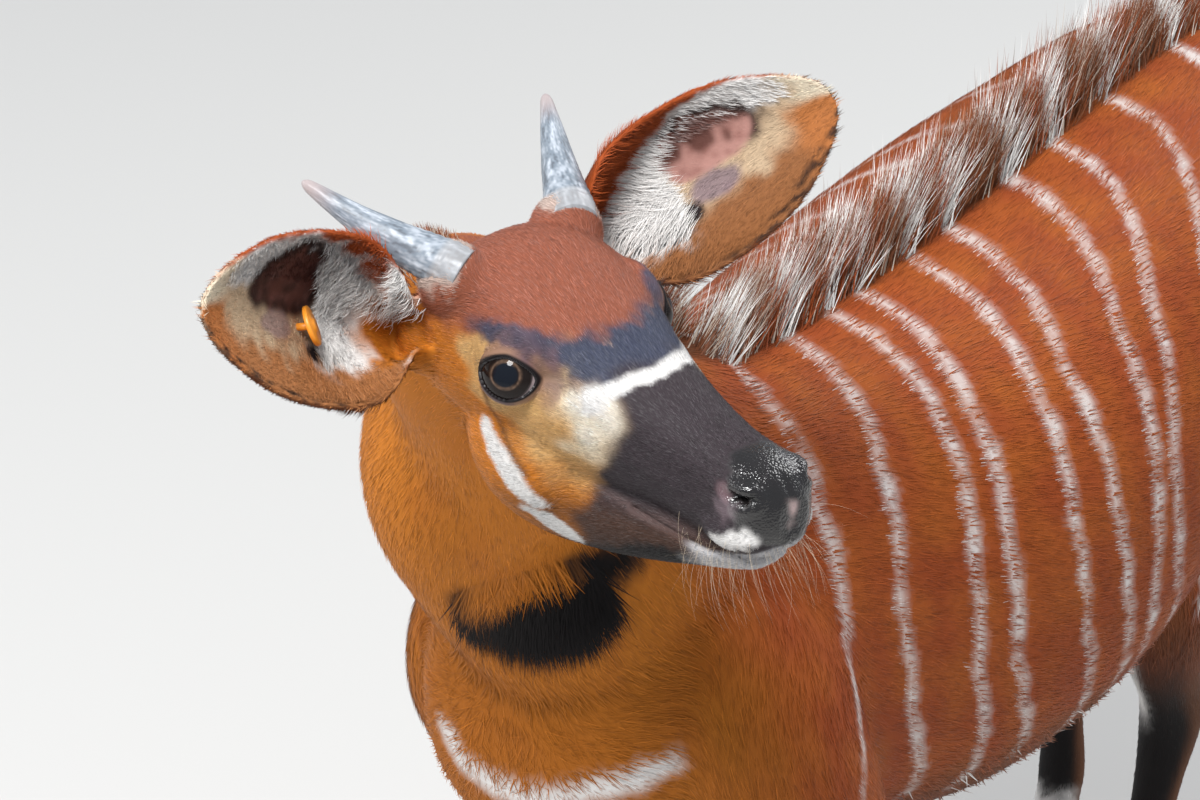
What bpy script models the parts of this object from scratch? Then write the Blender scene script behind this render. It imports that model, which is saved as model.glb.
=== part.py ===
"""Young bongo antelope, life size, standing with its head turned to its left.

Metres, +Z up, floor at z = 0. The animal faces -Y and its left side is +X. The flesh is
modelled whole, as lofts through a few body stations that a voxel remesh fuses, and thin
flat slits part it into head, neck, torso, tail and leg nodes. The mane and the tail tuft
are flat tapered locks fused to the flesh. Ears and horns are fused to the head and parted
from it by slits, and the eyes, hooves and ear tag are solids of their own.
"""

import math
import random

import bmesh
import bpy
import numpy as np
from mathutils import Matrix, Vector
from mathutils.bvhtree import BVHTree

# The gap that parted or touching pieces keep
GAP = 0.0003

# Where the point between the eyes stands, and how the head is turned, in degrees
HEAD_CENTRE = (0.169, -0.350, 1.095)
HEAD_YAW, HEAD_PITCH, HEAD_ROLL = 78.8, 3.2, 0.9

# Sizes of the head's parts
EYE_RADIUS = 0.0205
EYE_PLACE = (-0.013, 0.0540, -0.0035)
# The opening between the lids faces forward by this angle from straight out, in degrees
EYE_FACES = 32.0
EYE_OPENING = (0.0205, 0.0135)
LID_RADIUS = 0.0030
# Mounds that are fused onto the skull on either side: place and radii
ORBIT = (-0.018, 0.0500, 0.005), (0.034, 0.017, 0.029)
PEDICLE = (-0.068, 0.0440, 0.034), (0.024, 0.022, 0.026)
CHEEK = (-0.030, 0.0380, -0.068), (0.044, 0.020, 0.044)
EAR_BULB = (-0.098, 0.0460, -0.012), (0.024, 0.022, 0.026)
HORN_BASE_RADIUS, HORN_TIP_RADIUS = 0.0165, 0.0030
HORN_PLACE = (-0.074, 0.052, 0.050)
HORN_REACH = {"left": (-0.086, 0.060, 0.034), "right": (-0.085, -0.040, 0.044)}
EAR_LENGTH, EAR_WIDTH, EAR_THICKNESS = 0.222, 0.106, 0.0034
EAR_PLACE = (-0.102, 0.050, -0.008)
EAR_STALK = 0.028
EAR_LIE = {"left": (0.084, 0.184, 0.093), "right": (0.034, -0.195, 0.100)}
EAR_OPENS = {"left": (0.80, -0.35, 0.48), "right": (0.93, 0.10, 0.35)}
# The tag: a button and a small stud on one pin through the right ear. Its place on the ear is
# along the ear, across it and out of the cup, and its face is turned as on the animal
TAG_RADIUS, TAG_THICKNESS, TAG_PIN_RADIUS = 0.0130, 0.0030, 0.0024
TAG_STUD_RADIUS, TAG_STAND_OFF = 0.0065, 0.0115
TAG_PLACE, TAG_FACES = (0.099, -0.001, -0.024), (0.60, 0.70, 0.30)

# The locks of the mane and the tail, and the ridge that the mane grows from
CREST_RADIUS = 0.015
MANE_SPACING, MANE_LENGTH, MANE_WIDTH, MANE_THICKNESS = 0.018, 0.062, 0.034, 0.008
TUFT_LOCKS, TUFT_LENGTH, TUFT_WIDTH = 12, 0.130, 0.022

# The sole of each foot: where the hair ends and the hoof starts
HOOF_HEIGHT = 0.036
# How far each hind hoof stands behind its place under the hip
STRIDE = {"left": -0.085, "right": 0.140}
HIP_HEIGHT = 0.780

# Voxel sizes for fusing the lofts, and the triangles left in the two meshes
BODY_VOXEL, BODY_TRIANGLES = 0.0055, 3300
HEAD_VOXEL, HEAD_TRIANGLES = 0.0030, 2300
# The flat cut behind the jaw and the poll, in the head's axes
NAPE_PLACE, NAPE_NORMAL = (-0.130, 0.020, -0.079), (-0.72, 0.10, -0.69)

# Stations of the trunk: y, mid height, half width, height above and depth below the middle
TRUNK = [
    (-0.222, 0.655, 0.040, 0.040, 0.040),
    (-0.200, 0.655, 0.088, 0.090, 0.085),
    (-0.150, 0.658, 0.122, 0.135, 0.130),
    (-0.070, 0.665, 0.138, 0.180, 0.175),
    (0.010, 0.670, 0.147, 0.200, 0.202),
    (0.100, 0.655, 0.163, 0.208, 0.215),
    (0.220, 0.642, 0.192, 0.220, 0.240),
    (0.350, 0.645, 0.204, 0.221, 0.248),
    (0.460, 0.658, 0.196, 0.220, 0.236),
    (0.560, 0.690, 0.172, 0.196, 0.212),
    (0.660, 0.730, 0.145, 0.160, 0.165),
    (0.750, 0.755, 0.108, 0.122, 0.120),
    (0.805, 0.765, 0.070, 0.075, 0.080),
    (0.830, 0.765, 0.030, 0.030, 0.030),
]
# Stations of the neck: place, half width, reach to the throat, reach to the nape, turn
NECK = [
    ((0.000, 0.030, 0.720), 0.115, 0.185, 0.150, 0),
    ((-0.016, -0.085, 0.790), 0.116, 0.165, 0.135, 5),
    ((-0.032, -0.170, 0.880), 0.104, 0.135, 0.115, 18),
    ((0.012, -0.238, 0.965), 0.074, 0.106, 0.094, 40),
    ((0.038, -0.300, 1.035), 0.064, 0.078, 0.074, 62),
    ((0.084, -0.334, 1.068), 0.050, 0.058, 0.050, 75),
]
# Stations of one foreleg: place, half width, reach to the front, reach to the back
FORELEG = [
    ((0.088, -0.040, 0.750), 0.034, 0.074, 0.074),
    ((0.112, -0.072, 0.680), 0.052, 0.092, 0.090),
    ((0.124, -0.058, 0.600), 0.056, 0.080, 0.086),
    ((0.120, -0.012, 0.530), 0.050, 0.058, 0.066),
    ((0.108, 0.005, 0.450), 0.037, 0.043, 0.045),
    ((0.095, 0.002, 0.365), 0.0265, 0.028, 0.030),
    ((0.092, 0.000, 0.300), 0.0275, 0.029, 0.0275),
    ((0.091, 0.004, 0.258), 0.0210, 0.022, 0.0220),
    ((0.090, 0.008, 0.190), 0.0172, 0.0185, 0.0190),
    ((0.089, 0.008, 0.125), 0.0205, 0.021, 0.0235),
    ((0.089, 0.000, 0.095), 0.0200, 0.020, 0.0220),
    ((0.089, -0.014, 0.060), 0.0225, 0.0235, 0.0215),
    ((0.089, -0.024, 0.026), 0.0225, 0.0240, 0.0215),
]
# Stations of one hind leg, in the same order
HINDLEG = [
    ((0.072, 0.668, 0.790), 0.052, 0.095, 0.095),
    ((0.090, 0.660, 0.710), 0.072, 0.125, 0.120),
    ((0.104, 0.625, 0.625), 0.074, 0.125, 0.130),
    ((0.111, 0.578, 0.550), 0.063, 0.100, 0.112),
    ((0.110, 0.562, 0.480), 0.048, 0.068, 0.073),
    ((0.104, 0.576, 0.415), 0.035, 0.044, 0.046),
    ((0.098, 0.602, 0.360), 0.0265, 0.0310, 0.0330),
    ((0.094, 0.618, 0.318), 0.0265, 0.0290, 0.0350),
    ((0.092, 0.614, 0.265), 0.0210, 0.0225, 0.0250),
    ((0.090, 0.604, 0.190), 0.0180, 0.0195, 0.0200),
    ((0.089, 0.594, 0.125), 0.0210, 0.0215, 0.0240),
    ((0.089, 0.584, 0.095), 0.0200, 0.0205, 0.0220),
    ((0.089, 0.568, 0.060), 0.0225, 0.0235, 0.0215),
    ((0.089, 0.558, 0.026), 0.0225, 0.0240, 0.0215),
]
TAIL = [
    ((0.000, 0.710, 0.795), 0.026, 0.028, 0.028),
    ((0.000, 0.795, 0.822), 0.023, 0.024, 0.024),
    ((0.000, 0.850, 0.800), 0.019, 0.020, 0.020),
    ((0.000, 0.872, 0.720), 0.0140, 0.014, 0.014),
    ((0.000, 0.874, 0.630), 0.0110, 0.011, 0.011),
    ((0.000, 0.870, 0.540), 0.0090, 0.009, 0.009),
    ((0.000, 0.866, 0.500), 0.0050, 0.005, 0.005),
]
# Stations of the head in its own axes, forward and up from the point between the eyes:
# forward, mid height, half width, height above and depth below the middle
SKULL = [
    (-0.124, -0.012, 0.030, 0.024, 0.035),
    (-0.110, -0.006, 0.050, 0.038, 0.058),
    (-0.080, 0.002, 0.063, 0.050, 0.072),
    (-0.040, 0.004, 0.063, 0.051, 0.080),
    (0.000, -0.004, 0.058, 0.043, 0.075),
    (0.040, -0.019, 0.0440, 0.033, 0.064),
    (0.080, -0.032, 0.0335, 0.028, 0.053),
    (0.120, -0.045, 0.0290, 0.026, 0.046),
    (0.150, -0.052, 0.0300, 0.027, 0.038),
    (0.167, -0.056, 0.0265, 0.025, 0.030),
    (0.178, -0.058, 0.0140, 0.014, 0.016),
]
JAW = [
    (-0.098, -0.066, 0.028, 0.042, 0.036),
    (-0.070, -0.082, 0.042, 0.050, 0.050),
    (-0.030, -0.090, 0.044, 0.052, 0.051),
    (0.020, -0.094, 0.036, 0.036, 0.043),
    (0.065, -0.096, 0.027, 0.026, 0.032),
    (0.105, -0.097, 0.022, 0.019, 0.019),
    (0.136, -0.095, 0.0195, 0.015, 0.0115),
    (0.154, -0.092, 0.0130, 0.010, 0.0075),
]
# The line between the lips, from the corner of the mouth to the front, on one side
MOUTH = [
    (0.058, 0.025, -0.084),
    (0.095, 0.022, -0.091),
    (0.120, 0.021, -0.092),
    (0.142, 0.019, -0.087),
    (0.160, 0.0135, -0.079),
    (0.171, 0.000, -0.074),
]


def head_matrix():
    """From the head's axes (forward, left, up) to the animal's."""
    level = Matrix(((0, 1, 0), (-1, 0, 0), (0, 0, 1))).to_4x4()
    turn = Matrix.Rotation(math.radians(HEAD_YAW), 4, "Z")
    nod = Matrix.Rotation(math.radians(-HEAD_PITCH), 4, "Y")
    lean = Matrix.Rotation(math.radians(HEAD_ROLL), 4, "X")
    return Matrix.Translation(HEAD_CENTRE) @ turn @ level @ nod @ lean


HEAD = head_matrix()
SIDES = {"left": 1, "right": -1}


def smooth_rows(rows, steps):
    """Catmull-Rom rows through the stations, with this many steps between two of them."""
    rows = np.array(rows, float)
    padded = np.vstack([2 * rows[0] - rows[1], rows, 2 * rows[-1] - rows[-2]])
    out = []
    for i in range(1, len(padded) - 2):
        before, start, end, after = padded[i - 1 : i + 3]
        for t in np.arange(steps) / steps:
            linear = end - before
            square = 2 * before - 5 * start + 4 * end - after
            cube = 3 * start - before - 3 * end + after
            out.append(0.5 * (2 * start + linear * t + square * t**2 + cube * t**3))
    out.append(rows[-1])
    return np.array(out)


def linked(name, mesh):
    """A bmesh as a new object of the scene."""
    data = bpy.data.meshes.new(name)
    mesh.to_mesh(data)
    mesh.free()
    made = bpy.data.objects.new(name, data)
    bpy.context.scene.collection.objects.link(made)
    return made


def ring_mesh(name, rings, point_end=False):
    """A closed object from rings of points, its ends closed by fans, or the last by a point."""
    mesh = bmesh.new()
    loops = [[mesh.verts.new(p) for p in ring] for ring in rings]
    for near, far in zip(loops, loops[1:]):
        for k in range(len(near)):
            j = (k + 1) % len(near)
            mesh.faces.new((near[k], near[j], far[j], far[k]))
    middles = [np.mean(rings[0], axis=0), np.mean(rings[-1], axis=0)]
    if point_end:
        middles[1] = 2 * middles[1] - np.mean(rings[-2], axis=0)
    for loop, middle in zip((loops[0], loops[-1]), middles):
        apex = mesh.verts.new(middle)
        for k in range(len(loop)):
            mesh.faces.new((loop[k], loop[(k + 1) % len(loop)], apex))
    bmesh.ops.recalc_face_normals(mesh, faces=mesh.faces)
    bmesh.ops.triangulate(mesh, faces=mesh.faces)
    return linked(name, mesh)


def loft(name, stations, front, sides=24, steps=4):
    """Rings across a path of (place, half width, reach to the front, reach to the back, turn)."""
    rows = smooth_rows([(*place, *sizes, 0.0)[:7] for place, *sizes in stations], steps)
    path = rows[:, :3]
    tangents = np.gradient(path, axis=0)
    tangents /= np.linalg.norm(tangents, axis=1)[:, None]
    angles = np.arange(sides) * 2 * math.pi / sides
    rings = []
    for place, tangent, (half, fore, aft, turn) in zip(path, tangents, rows[:, 3:]):
        facing = Matrix.Rotation(math.radians(turn), 3, "Z") @ Vector(front)
        side = np.cross(tangent, facing)
        side /= np.linalg.norm(side)
        ahead = np.cross(side, tangent)
        reach = np.where(np.sin(angles) > 0, fore, aft)
        across = np.outer(np.cos(angles) * half, side)
        rings.append(place + across + np.outer(np.sin(angles) * reach, ahead))
    return ring_mesh(name, rings)


def level_loft(name, stations, along, up, side, sides=32, steps=4, square=1.0):
    """Upright rings at (distance, mid height, half width, height, depth); square under 1 fills
    the corners of the rings."""
    rows = smooth_rows(stations, steps)
    angles = np.arange(sides) * 2 * math.pi / sides
    wide = np.sign(np.cos(angles)) * np.abs(np.cos(angles)) ** square
    high = np.sign(np.sin(angles)) * np.abs(np.sin(angles)) ** square
    rings = []
    for distance, middle, half, above, below in rows:
        reach = np.where(high > 0, above, below)
        heights = np.outer(middle + high * reach, up)
        rings.append(np.multiply(along, distance) + heights + np.outer(wide * half, side))
    return ring_mesh(name, rings)


def ellipsoid(name, matrix, radii, segments=24, rings=14):
    """A closed ellipsoid with these radii in the frame of the matrix."""
    mesh = bmesh.new()
    bmesh.ops.create_uvsphere(mesh, u_segments=segments, v_segments=rings, radius=1)
    bmesh.ops.triangulate(mesh, faces=mesh.faces)
    made = linked(name, mesh)
    made.data.transform(matrix @ Matrix.Diagonal((*radii, 1)))
    return made


def box(name, matrix, sizes):
    """A closed box with these sizes in the frame of the matrix."""
    mesh = bmesh.new()
    bmesh.ops.create_cube(mesh, size=1)
    made = linked(name, mesh)
    made.data.transform(matrix @ Matrix.Diagonal((*sizes, 1)))
    return made


def tube(name, points, radii, sides=8):
    """A closed tube along points, with a radius at each, its ends closed by fans."""
    points = np.array(points, float)
    tangents = np.gradient(points, axis=0)
    angles = np.arange(sides) * 2 * math.pi / sides
    rings = []
    for place, tangent, radius in zip(points, tangents, radii):
        turned = Vector(tangent).to_track_quat("Z", "Y").to_matrix()
        circle = [(math.cos(a) * radius, math.sin(a) * radius, 0) for a in angles]
        rings.append([Vector(place) + turned @ Vector(p) for p in circle])
    return ring_mesh(name, [[tuple(p) for p in ring] for ring in rings])


def facing(place, normal):
    """The matrix of a frame at a place whose Z runs along the normal."""
    return Matrix.Translation(place) @ Vector(normal).to_track_quat("Z", "Y").to_matrix().to_4x4()


def mirrored(obj, name):
    """A copy on the animal's other side, with its faces still pointing out."""
    made = obj.copy()
    made.data = obj.data.copy()
    made.name = name
    bpy.context.scene.collection.objects.link(made)
    made.data.transform(Matrix.Scale(-1, 4, (1, 0, 0)))
    made.data.flip_normals()
    return made


def evaluated(obj):
    """Puts the result of an object's modifiers in its mesh."""
    graph = bpy.context.evaluated_depsgraph_get()
    made = bpy.data.meshes.new_from_object(obj.evaluated_get(graph))
    obj.modifiers.clear()
    obj.data = made
    return obj


def combined(obj, pieces, operation):
    """One Boolean of an object with a collection of closed pieces, which are then removed."""
    group = bpy.data.collections.new("operands")
    for piece in pieces:
        group.objects.link(piece)
    boolean = obj.modifiers.new("combine", "BOOLEAN")
    boolean.operand_type = "COLLECTION"
    boolean.collection = group
    boolean.operation = operation
    boolean.solver = "MANIFOLD"
    evaluated(obj)
    for piece in pieces:
        bpy.data.objects.remove(piece)
    bpy.data.collections.remove(group)
    return obj


def fused(name, pieces, voxel, triangles):
    """The pieces joined by a voxel remesh, smoothed, and thinned to a triangle count."""
    with bpy.context.temp_override(
        active_object=pieces[0], selected_editable_objects=pieces, object=pieces[0]
    ):
        bpy.ops.object.join()
    made = pieces[0]
    made.name = name
    remesh = made.modifiers.new("fuse", "REMESH")
    remesh.mode = "VOXEL"
    remesh.voxel_size = voxel
    soften = made.modifiers.new("soften", "SMOOTH")
    soften.factor = 0.5
    soften.iterations = 6
    evaluated(made)
    made.modifiers.new("triangles", "TRIANGULATE")
    thin = made.modifiers.new("thin", "DECIMATE")
    thin.ratio = triangles / (2 * len(made.data.polygons))
    return evaluated(made)


def halved(obj, place, normal):
    """The part of an object on the side of a plane that its normal points to, with a flat end."""
    mesh = bmesh.new()
    mesh.from_mesh(obj.data)
    geometry = list(mesh.verts) + list(mesh.edges) + list(mesh.faces)
    cut = bmesh.ops.bisect_plane(
        mesh, geom=geometry, plane_co=place, plane_no=normal, clear_inner=True
    )
    rim = [item for item in cut["geom_cut"] if isinstance(item, bmesh.types.BMEdge)]
    made = bmesh.ops.holes_fill(mesh, edges=rim, sides=0)
    bmesh.ops.triangulate(mesh, faces=made["faces"])
    mesh.to_mesh(obj.data)
    mesh.free()
    return obj


def islands(obj):
    """The closed surfaces of an object, each as a new object, largest volume first."""
    mesh = bmesh.new()
    mesh.from_mesh(obj.data)
    left = set(mesh.verts)
    found = []
    while left:
        group = {left.pop()}
        edge = list(group)
        while edge:
            vertex = edge.pop()
            for link in vertex.link_edges:
                other = link.other_vert(vertex)
                if other not in group:
                    group.add(other)
                    edge.append(other)
        left -= group
        piece = mesh.copy()
        piece.verts.ensure_lookup_table()
        keep = {v.index for v in group}
        bmesh.ops.delete(piece, geom=[v for v in piece.verts if v.index not in keep], context="VERTS")
        found.append((piece.calc_volume(signed=True), linked("island", piece)))
    mesh.free()
    bpy.data.objects.remove(obj)
    return [made for _, made in sorted(found, key=lambda item: -item[0])]


def parted(obj, slits, seeds):
    """The object cut by thin slits, and its pieces named by the seed point in each one."""
    pieces = islands(combined(obj, slits, "DIFFERENCE"))
    named = {}
    for name, seed in seeds.items():
        for piece in pieces:
            if piece not in named.values() and inside(piece, seed):
                named[name] = piece
                piece.name = piece.data.name = name
                break
    for piece in pieces:
        if piece not in named.values():
            bpy.data.objects.remove(piece)
    return named


def grown(obj):
    """A copy of a closed object, larger by the gap all round."""
    made = obj.copy()
    made.data = obj.data.copy()
    bpy.context.scene.collection.objects.link(made)
    reach = [vertex.co + vertex.normal * GAP for vertex in made.data.vertices]
    for vertex, place in zip(made.data.vertices, reach):
        vertex.co = place
    return made


def largest(name, obj):
    """The largest closed surface of an object, as a new object with this name."""
    pieces = islands(obj)
    for piece in pieces[1:]:
        bpy.data.objects.remove(piece)
    pieces[0].name = pieces[0].data.name = name
    return pieces[0]


def seated(name, obj, neighbours):
    """The part of an object that stands outside its neighbours, with the gap between them."""
    return largest(name, combined(obj, [grown(other) for other in neighbours], "DIFFERENCE"))


def surface(obj):
    mesh = bmesh.new()
    mesh.from_mesh(obj.data)
    tree = BVHTree.FromBMesh(mesh)
    mesh.free()
    return tree


def inside(obj, point):
    """Whether a point lies in a closed object, by counting the faces above it."""
    tree = surface(obj)
    place, count = Vector(point), 0
    while True:
        hit = tree.ray_cast(place, Vector((0.0, 0.0, 1.0)))
        if hit[0] is None:
            return count % 2 == 1
        count += 1
        place = hit[0] + Vector((0.0, 0.0, 1e-6))


def lock(name, root, out, lie, side, length, width, thickness, bend, sunk=0.010):
    """A flat tapered lock: it leaves the root along out and bends over along the lie."""
    out, lie, side = (Vector(v).normalized() for v in (out, lie, side))
    profile = [(-sunk / length, 0.75, 0.9), (0.30, 1.0, 1.0), (0.68, 0.72, 0.65)]
    rings = []
    for along, wide, thick in profile:
        lean = bend * max(0.0, along)
        direction = out * math.cos(lean) + lie * math.sin(lean)
        place = Vector(root) + direction * along * length
        flat = side.cross(direction).normalized()
        half = flat * width * 0.5 * wide
        deep = side * thickness * 0.5 * thick
        rings.append([tuple(place + v) for v in (half, deep, -half, -deep)])
    tip = Vector(root) + (out * math.cos(bend) + lie * math.sin(bend)) * length
    mesh = bmesh.new()
    loops = [[mesh.verts.new(p) for p in ring] for ring in rings]
    for near, far in zip(loops, loops[1:]):
        for k in range(4):
            mesh.faces.new((near[k], near[(k + 1) % 4], far[(k + 1) % 4], far[k]))
    end = mesh.verts.new(tip)
    for k in range(4):
        mesh.faces.new((loops[-1][k], loops[-1][(k + 1) % 4], end))
    mesh.faces.new(loops[0])
    bmesh.ops.recalc_face_normals(mesh, faces=mesh.faces)
    bmesh.ops.triangulate(mesh, faces=mesh.faces)
    return linked(name, mesh)


def crest_path():
    """The line of the nape and the back, from the poll to the rump."""
    points = []
    for x, y, z, _, _, nape, turn in smooth_rows([(*p, *s) for p, *s in NECK], 4)[:7:-1]:
        behind = Matrix.Rotation(math.radians(turn), 3, "Z") @ Vector((0, nape, 0))
        points.append((x + behind.x, y + behind.y * 0.85, z + nape * 0.35))
    for y, middle, _, above, _ in smooth_rows(TRUNK, 2)[10:22]:
        points.append((0, y, middle + above - 0.004))
    return points


def step_back(side, height):
    """How far back a height of a hind leg stands, from nothing at the hip to the full stride."""
    return STRIDE[side] * max(0.0, 1 - height / HIP_HEIGHT)


def trunk_and_legs():
    foreleg = loft("foreleg", FORELEG, (0, -1, 0))
    hindlegs = [loft("hindleg", HINDLEG, (0, -1, 0))]
    hindlegs.append(mirrored(hindlegs[0], "hindleg_r"))
    for side, leg in zip(SIDES, hindlegs):
        for vertex in leg.data.vertices:
            vertex.co.y += step_back(side, vertex.co.z)
    return [
        level_loft("trunk", TRUNK, (0, 1, 0), (0, 0, 1), (1, 0, 0), square=0.92),
        tube("crest", crest_path(), [CREST_RADIUS] * len(crest_path())),
        loft("neck", NECK, (0, -1, 0)),
        foreleg,
        mirrored(foreleg, "foreleg_r"),
        *hindlegs,
    ]


def skull_pieces():
    ahead, up, side = (1, 0, 0), (0, 0, 1), (0, 1, 0)
    pieces = [
        level_loft("skull", SKULL, ahead, up, side, square=0.85),
        level_loft("jaw", JAW, ahead, up, side),
    ]
    for sign in SIDES.values():
        for (ahead_by, side_by, up_by), radii in (ORBIT, PEDICLE, CHEEK, EAR_BULB):
            place = Matrix.Translation((ahead_by, sign * side_by, up_by))
            pieces.append(ellipsoid("mound", place, radii))
    for piece in pieces:
        piece.data.transform(HEAD)
    return pieces


def eye_matrix(sign):
    """Axes of an eye from its centre: along the opening, straight out of it, and up."""
    centre = Matrix.Translation((EYE_PLACE[0], sign * EYE_PLACE[1], EYE_PLACE[2]))
    return centre @ Matrix.Rotation(math.radians(-sign * EYE_FACES), 4, "Z")


def lids():
    """A raised rim above and one below each eye, lying on the ball from corner to corner."""
    pieces = []
    half, high = EYE_OPENING
    for sign in SIDES.values():
        for rise in (high, -high):
            points, radii = [], []
            for t in np.linspace(-1, 1, 9):
                ahead = t * half * 1.12
                up = rise * (1 - t * t) + 0.002 * t
                out = math.sqrt(max(0.0, (EYE_RADIUS + 0.001) ** 2 - (0.9 * ahead) ** 2 - up**2))
                points.append(eye_matrix(sign) @ Vector((ahead, sign * out, up)))
                radii.append(LID_RADIUS * (1.05 - 0.35 * t * t))
            pieces.append(tube("lid", points, radii, sides=6))
    for piece in pieces:
        piece.data.transform(HEAD)
    return pieces


def head_hollows():
    """Cutters for the eye openings, the sockets, the nostrils and the line between the lips."""
    pieces = []
    for sign in SIDES.values():
        out = eye_matrix(sign) @ Matrix.Translation((0, sign * 0.014, 0))
        pieces.append(ellipsoid("opening", out, (EYE_OPENING[0], 0.018, EYE_OPENING[1]), 20, 10))
        socket = EYE_RADIUS + GAP
        eye = Matrix.Translation(eye_matrix(sign).to_translation())
        pieces.append(ellipsoid("socket", eye, (socket,) * 3, 16, 10))
        nostril = [(0.158, 0.016, -0.050), (0.154, 0.024, -0.052), (0.146, 0.031, -0.054)]
        nostril = [(0.150, 0.012, -0.052), *nostril, (0.138, 0.034, -0.048)]
        points = [(u, sign * v, w) for u, v, w in nostril]
        pieces.append(tube("nostril", points, (0.004, 0.0052, 0.0055, 0.0045, 0.0025), sides=8))
    line = smooth_rows(MOUTH, 3)
    line = np.vstack([line, line[-2::-1] * (1, -1, 1)])
    pieces.append(tube("mouth", line, [0.0020] * len(line), sides=6))
    for piece in pieces:
        piece.data.transform(HEAD)
    return pieces


def horn(side):
    """A plain tapered spike with a slight bend, its foot sunk in the pedicle."""
    sign = SIDES[side]
    foot = Vector((HORN_PLACE[0], sign * HORN_PLACE[1], HORN_PLACE[2]))
    reach = Vector(HORN_REACH[side])
    bow = Vector((0.0, 0.0, 0.004))
    points, radii = [], []
    for t in (-0.15, 0.0, 0.2, 0.4, 0.6, 0.8, 0.93, 1.0):
        points.append(foot + reach * t - bow * math.sin(math.pi * max(t, 0.0)))
        radii.append(HORN_TIP_RADIUS + (HORN_BASE_RADIUS - HORN_TIP_RADIUS) * (1 - max(t, 0.0)) ** 0.85)
    radii[-1] = HORN_TIP_RADIUS * 0.5
    made = tube("horn", points, radii, sides=12)
    made.data.transform(HEAD)
    return made


def ear_frame(side):
    """Origin and axes of an ear: along it, across it, and out of its cup, in the head's axes."""
    sign = SIDES[side]
    root = Vector((EAR_PLACE[0], sign * EAR_PLACE[1], EAR_PLACE[2]))
    along = Vector(EAR_LIE[side]).normalized()
    opens = Vector(EAR_OPENS[side])
    opens = (opens - along * opens.dot(along)).normalized()
    across = along.cross(opens)
    return root, along, across, opens


def ear(side):
    """A cupped leaf: a curved sheet given a wall, with its foot closed round a short stalk."""
    root, along, across, opens = ear_frame(side)
    stations = [
        (0.06, 0.205, 152),
        (0.15, 0.215, 146),
        (0.24, 0.33, 122),
        (0.32, 0.43, 100),
        (0.42, 0.49, 86),
        (0.58, 0.50, 70),
        (0.74, 0.44, 58),
        (0.88, 0.30, 46),
        (0.96, 0.17, 38),
        (1.00, 0.06, 30),
    ]
    mesh = bmesh.new()
    rows = []
    for place, half, curl in stations:
        middle = root + along * place * EAR_LENGTH
        arc = math.radians(curl)
        radius = half * EAR_WIDTH / (math.sin(arc) if curl < 90 else 1.0)
        row = []
        for t in np.linspace(-1, 1, 9):
            offset = across * math.sin(arc * t) + opens * (1 - math.cos(arc * t))
            row.append(mesh.verts.new(middle + (offset - opens * 0.55 * (1 - math.cos(arc))) * radius))
        rows.append(row)
    for near, far in zip(rows, rows[1:]):
        for k in range(len(near) - 1):
            mesh.faces.new((near[k], near[k + 1], far[k + 1], far[k]))
    bmesh.ops.triangulate(mesh, faces=mesh.faces)
    sheet = linked("ear", mesh)
    wall = sheet.modifiers.new("wall", "SOLIDIFY")
    wall.thickness = EAR_THICKNESS
    wall.offset = 0
    evaluated(sheet)
    reach = (-0.010, 0.010, EAR_STALK + 0.006, EAR_STALK + 0.016)
    stalk = tube("stalk", [root + along * r for r in reach], (0.018, 0.020, 0.0205, 0.012), 12)
    combined(sheet, [stalk], "UNION")
    sheet.data.transform(HEAD)
    return sheet


def tag_pin(radius):
    """The pin of the ear tag, from behind the ear to the middle of the button."""
    root, along, across, opens = ear_frame("right")
    place = root + along * TAG_PLACE[0] + across * TAG_PLACE[1] + opens * TAG_PLACE[2]
    behind = place - opens * (EAR_THICKNESS + 0.0035)
    made = tube("pin", [behind, place, place + opens * TAG_STAND_OFF], [radius] * 3, 12)
    made.data.transform(HEAD)
    return made


def ear_tag():
    root, along, across, opens = ear_frame("right")
    place = root + along * TAG_PLACE[0] + across * TAG_PLACE[1] + opens * TAG_PLACE[2]
    face = Vector(TAG_FACES).normalized() * TAG_THICKNESS / 2
    button = place + opens * TAG_STAND_OFF
    stud = place - opens * (EAR_THICKNESS + 0.0030)
    round_parts = [
        tube("button", [button - face, button + face], [TAG_RADIUS] * 2, 24),
        tube("stud", [stud - opens * 0.001, stud + opens * 0.001], [TAG_STUD_RADIUS] * 2, 16),
    ]
    for piece in round_parts:
        piece.data.transform(HEAD)
    return combined(tag_pin(TAG_PIN_RADIUS), round_parts, "UNION")


def hoof(name, place):
    """Two claws joined at the crown: a slanting block with a flat sole and a cleft in front."""
    x, y = place
    rings = []
    angles = np.arange(20) * 2 * math.pi / 20
    for height, half, fore, aft, shift in (
        (0.0, 0.0265, 0.040, 0.024, -0.012),
        (0.004, 0.0270, 0.041, 0.0245, -0.012),
        (HOOF_HEIGHT - GAP, 0.0225, 0.0235, 0.0215, 0.0),
    ):
        reach = np.where(np.sin(angles) < 0, fore, aft)
        ring = [(x + half * math.cos(a), y + shift + r * math.sin(a), height) for a, r in zip(angles, reach)]
        rings.append(ring)
    made = ring_mesh(name, rings)
    slope = Matrix.Rotation(math.radians(-24), 4, "X")
    cleft = box("cleft", Matrix.Translation((x, y - 0.034, 0.004)) @ slope, (0.0040, 0.052, 0.044))
    combined(made, [cleft], "DIFFERENCE")
    return made


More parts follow.
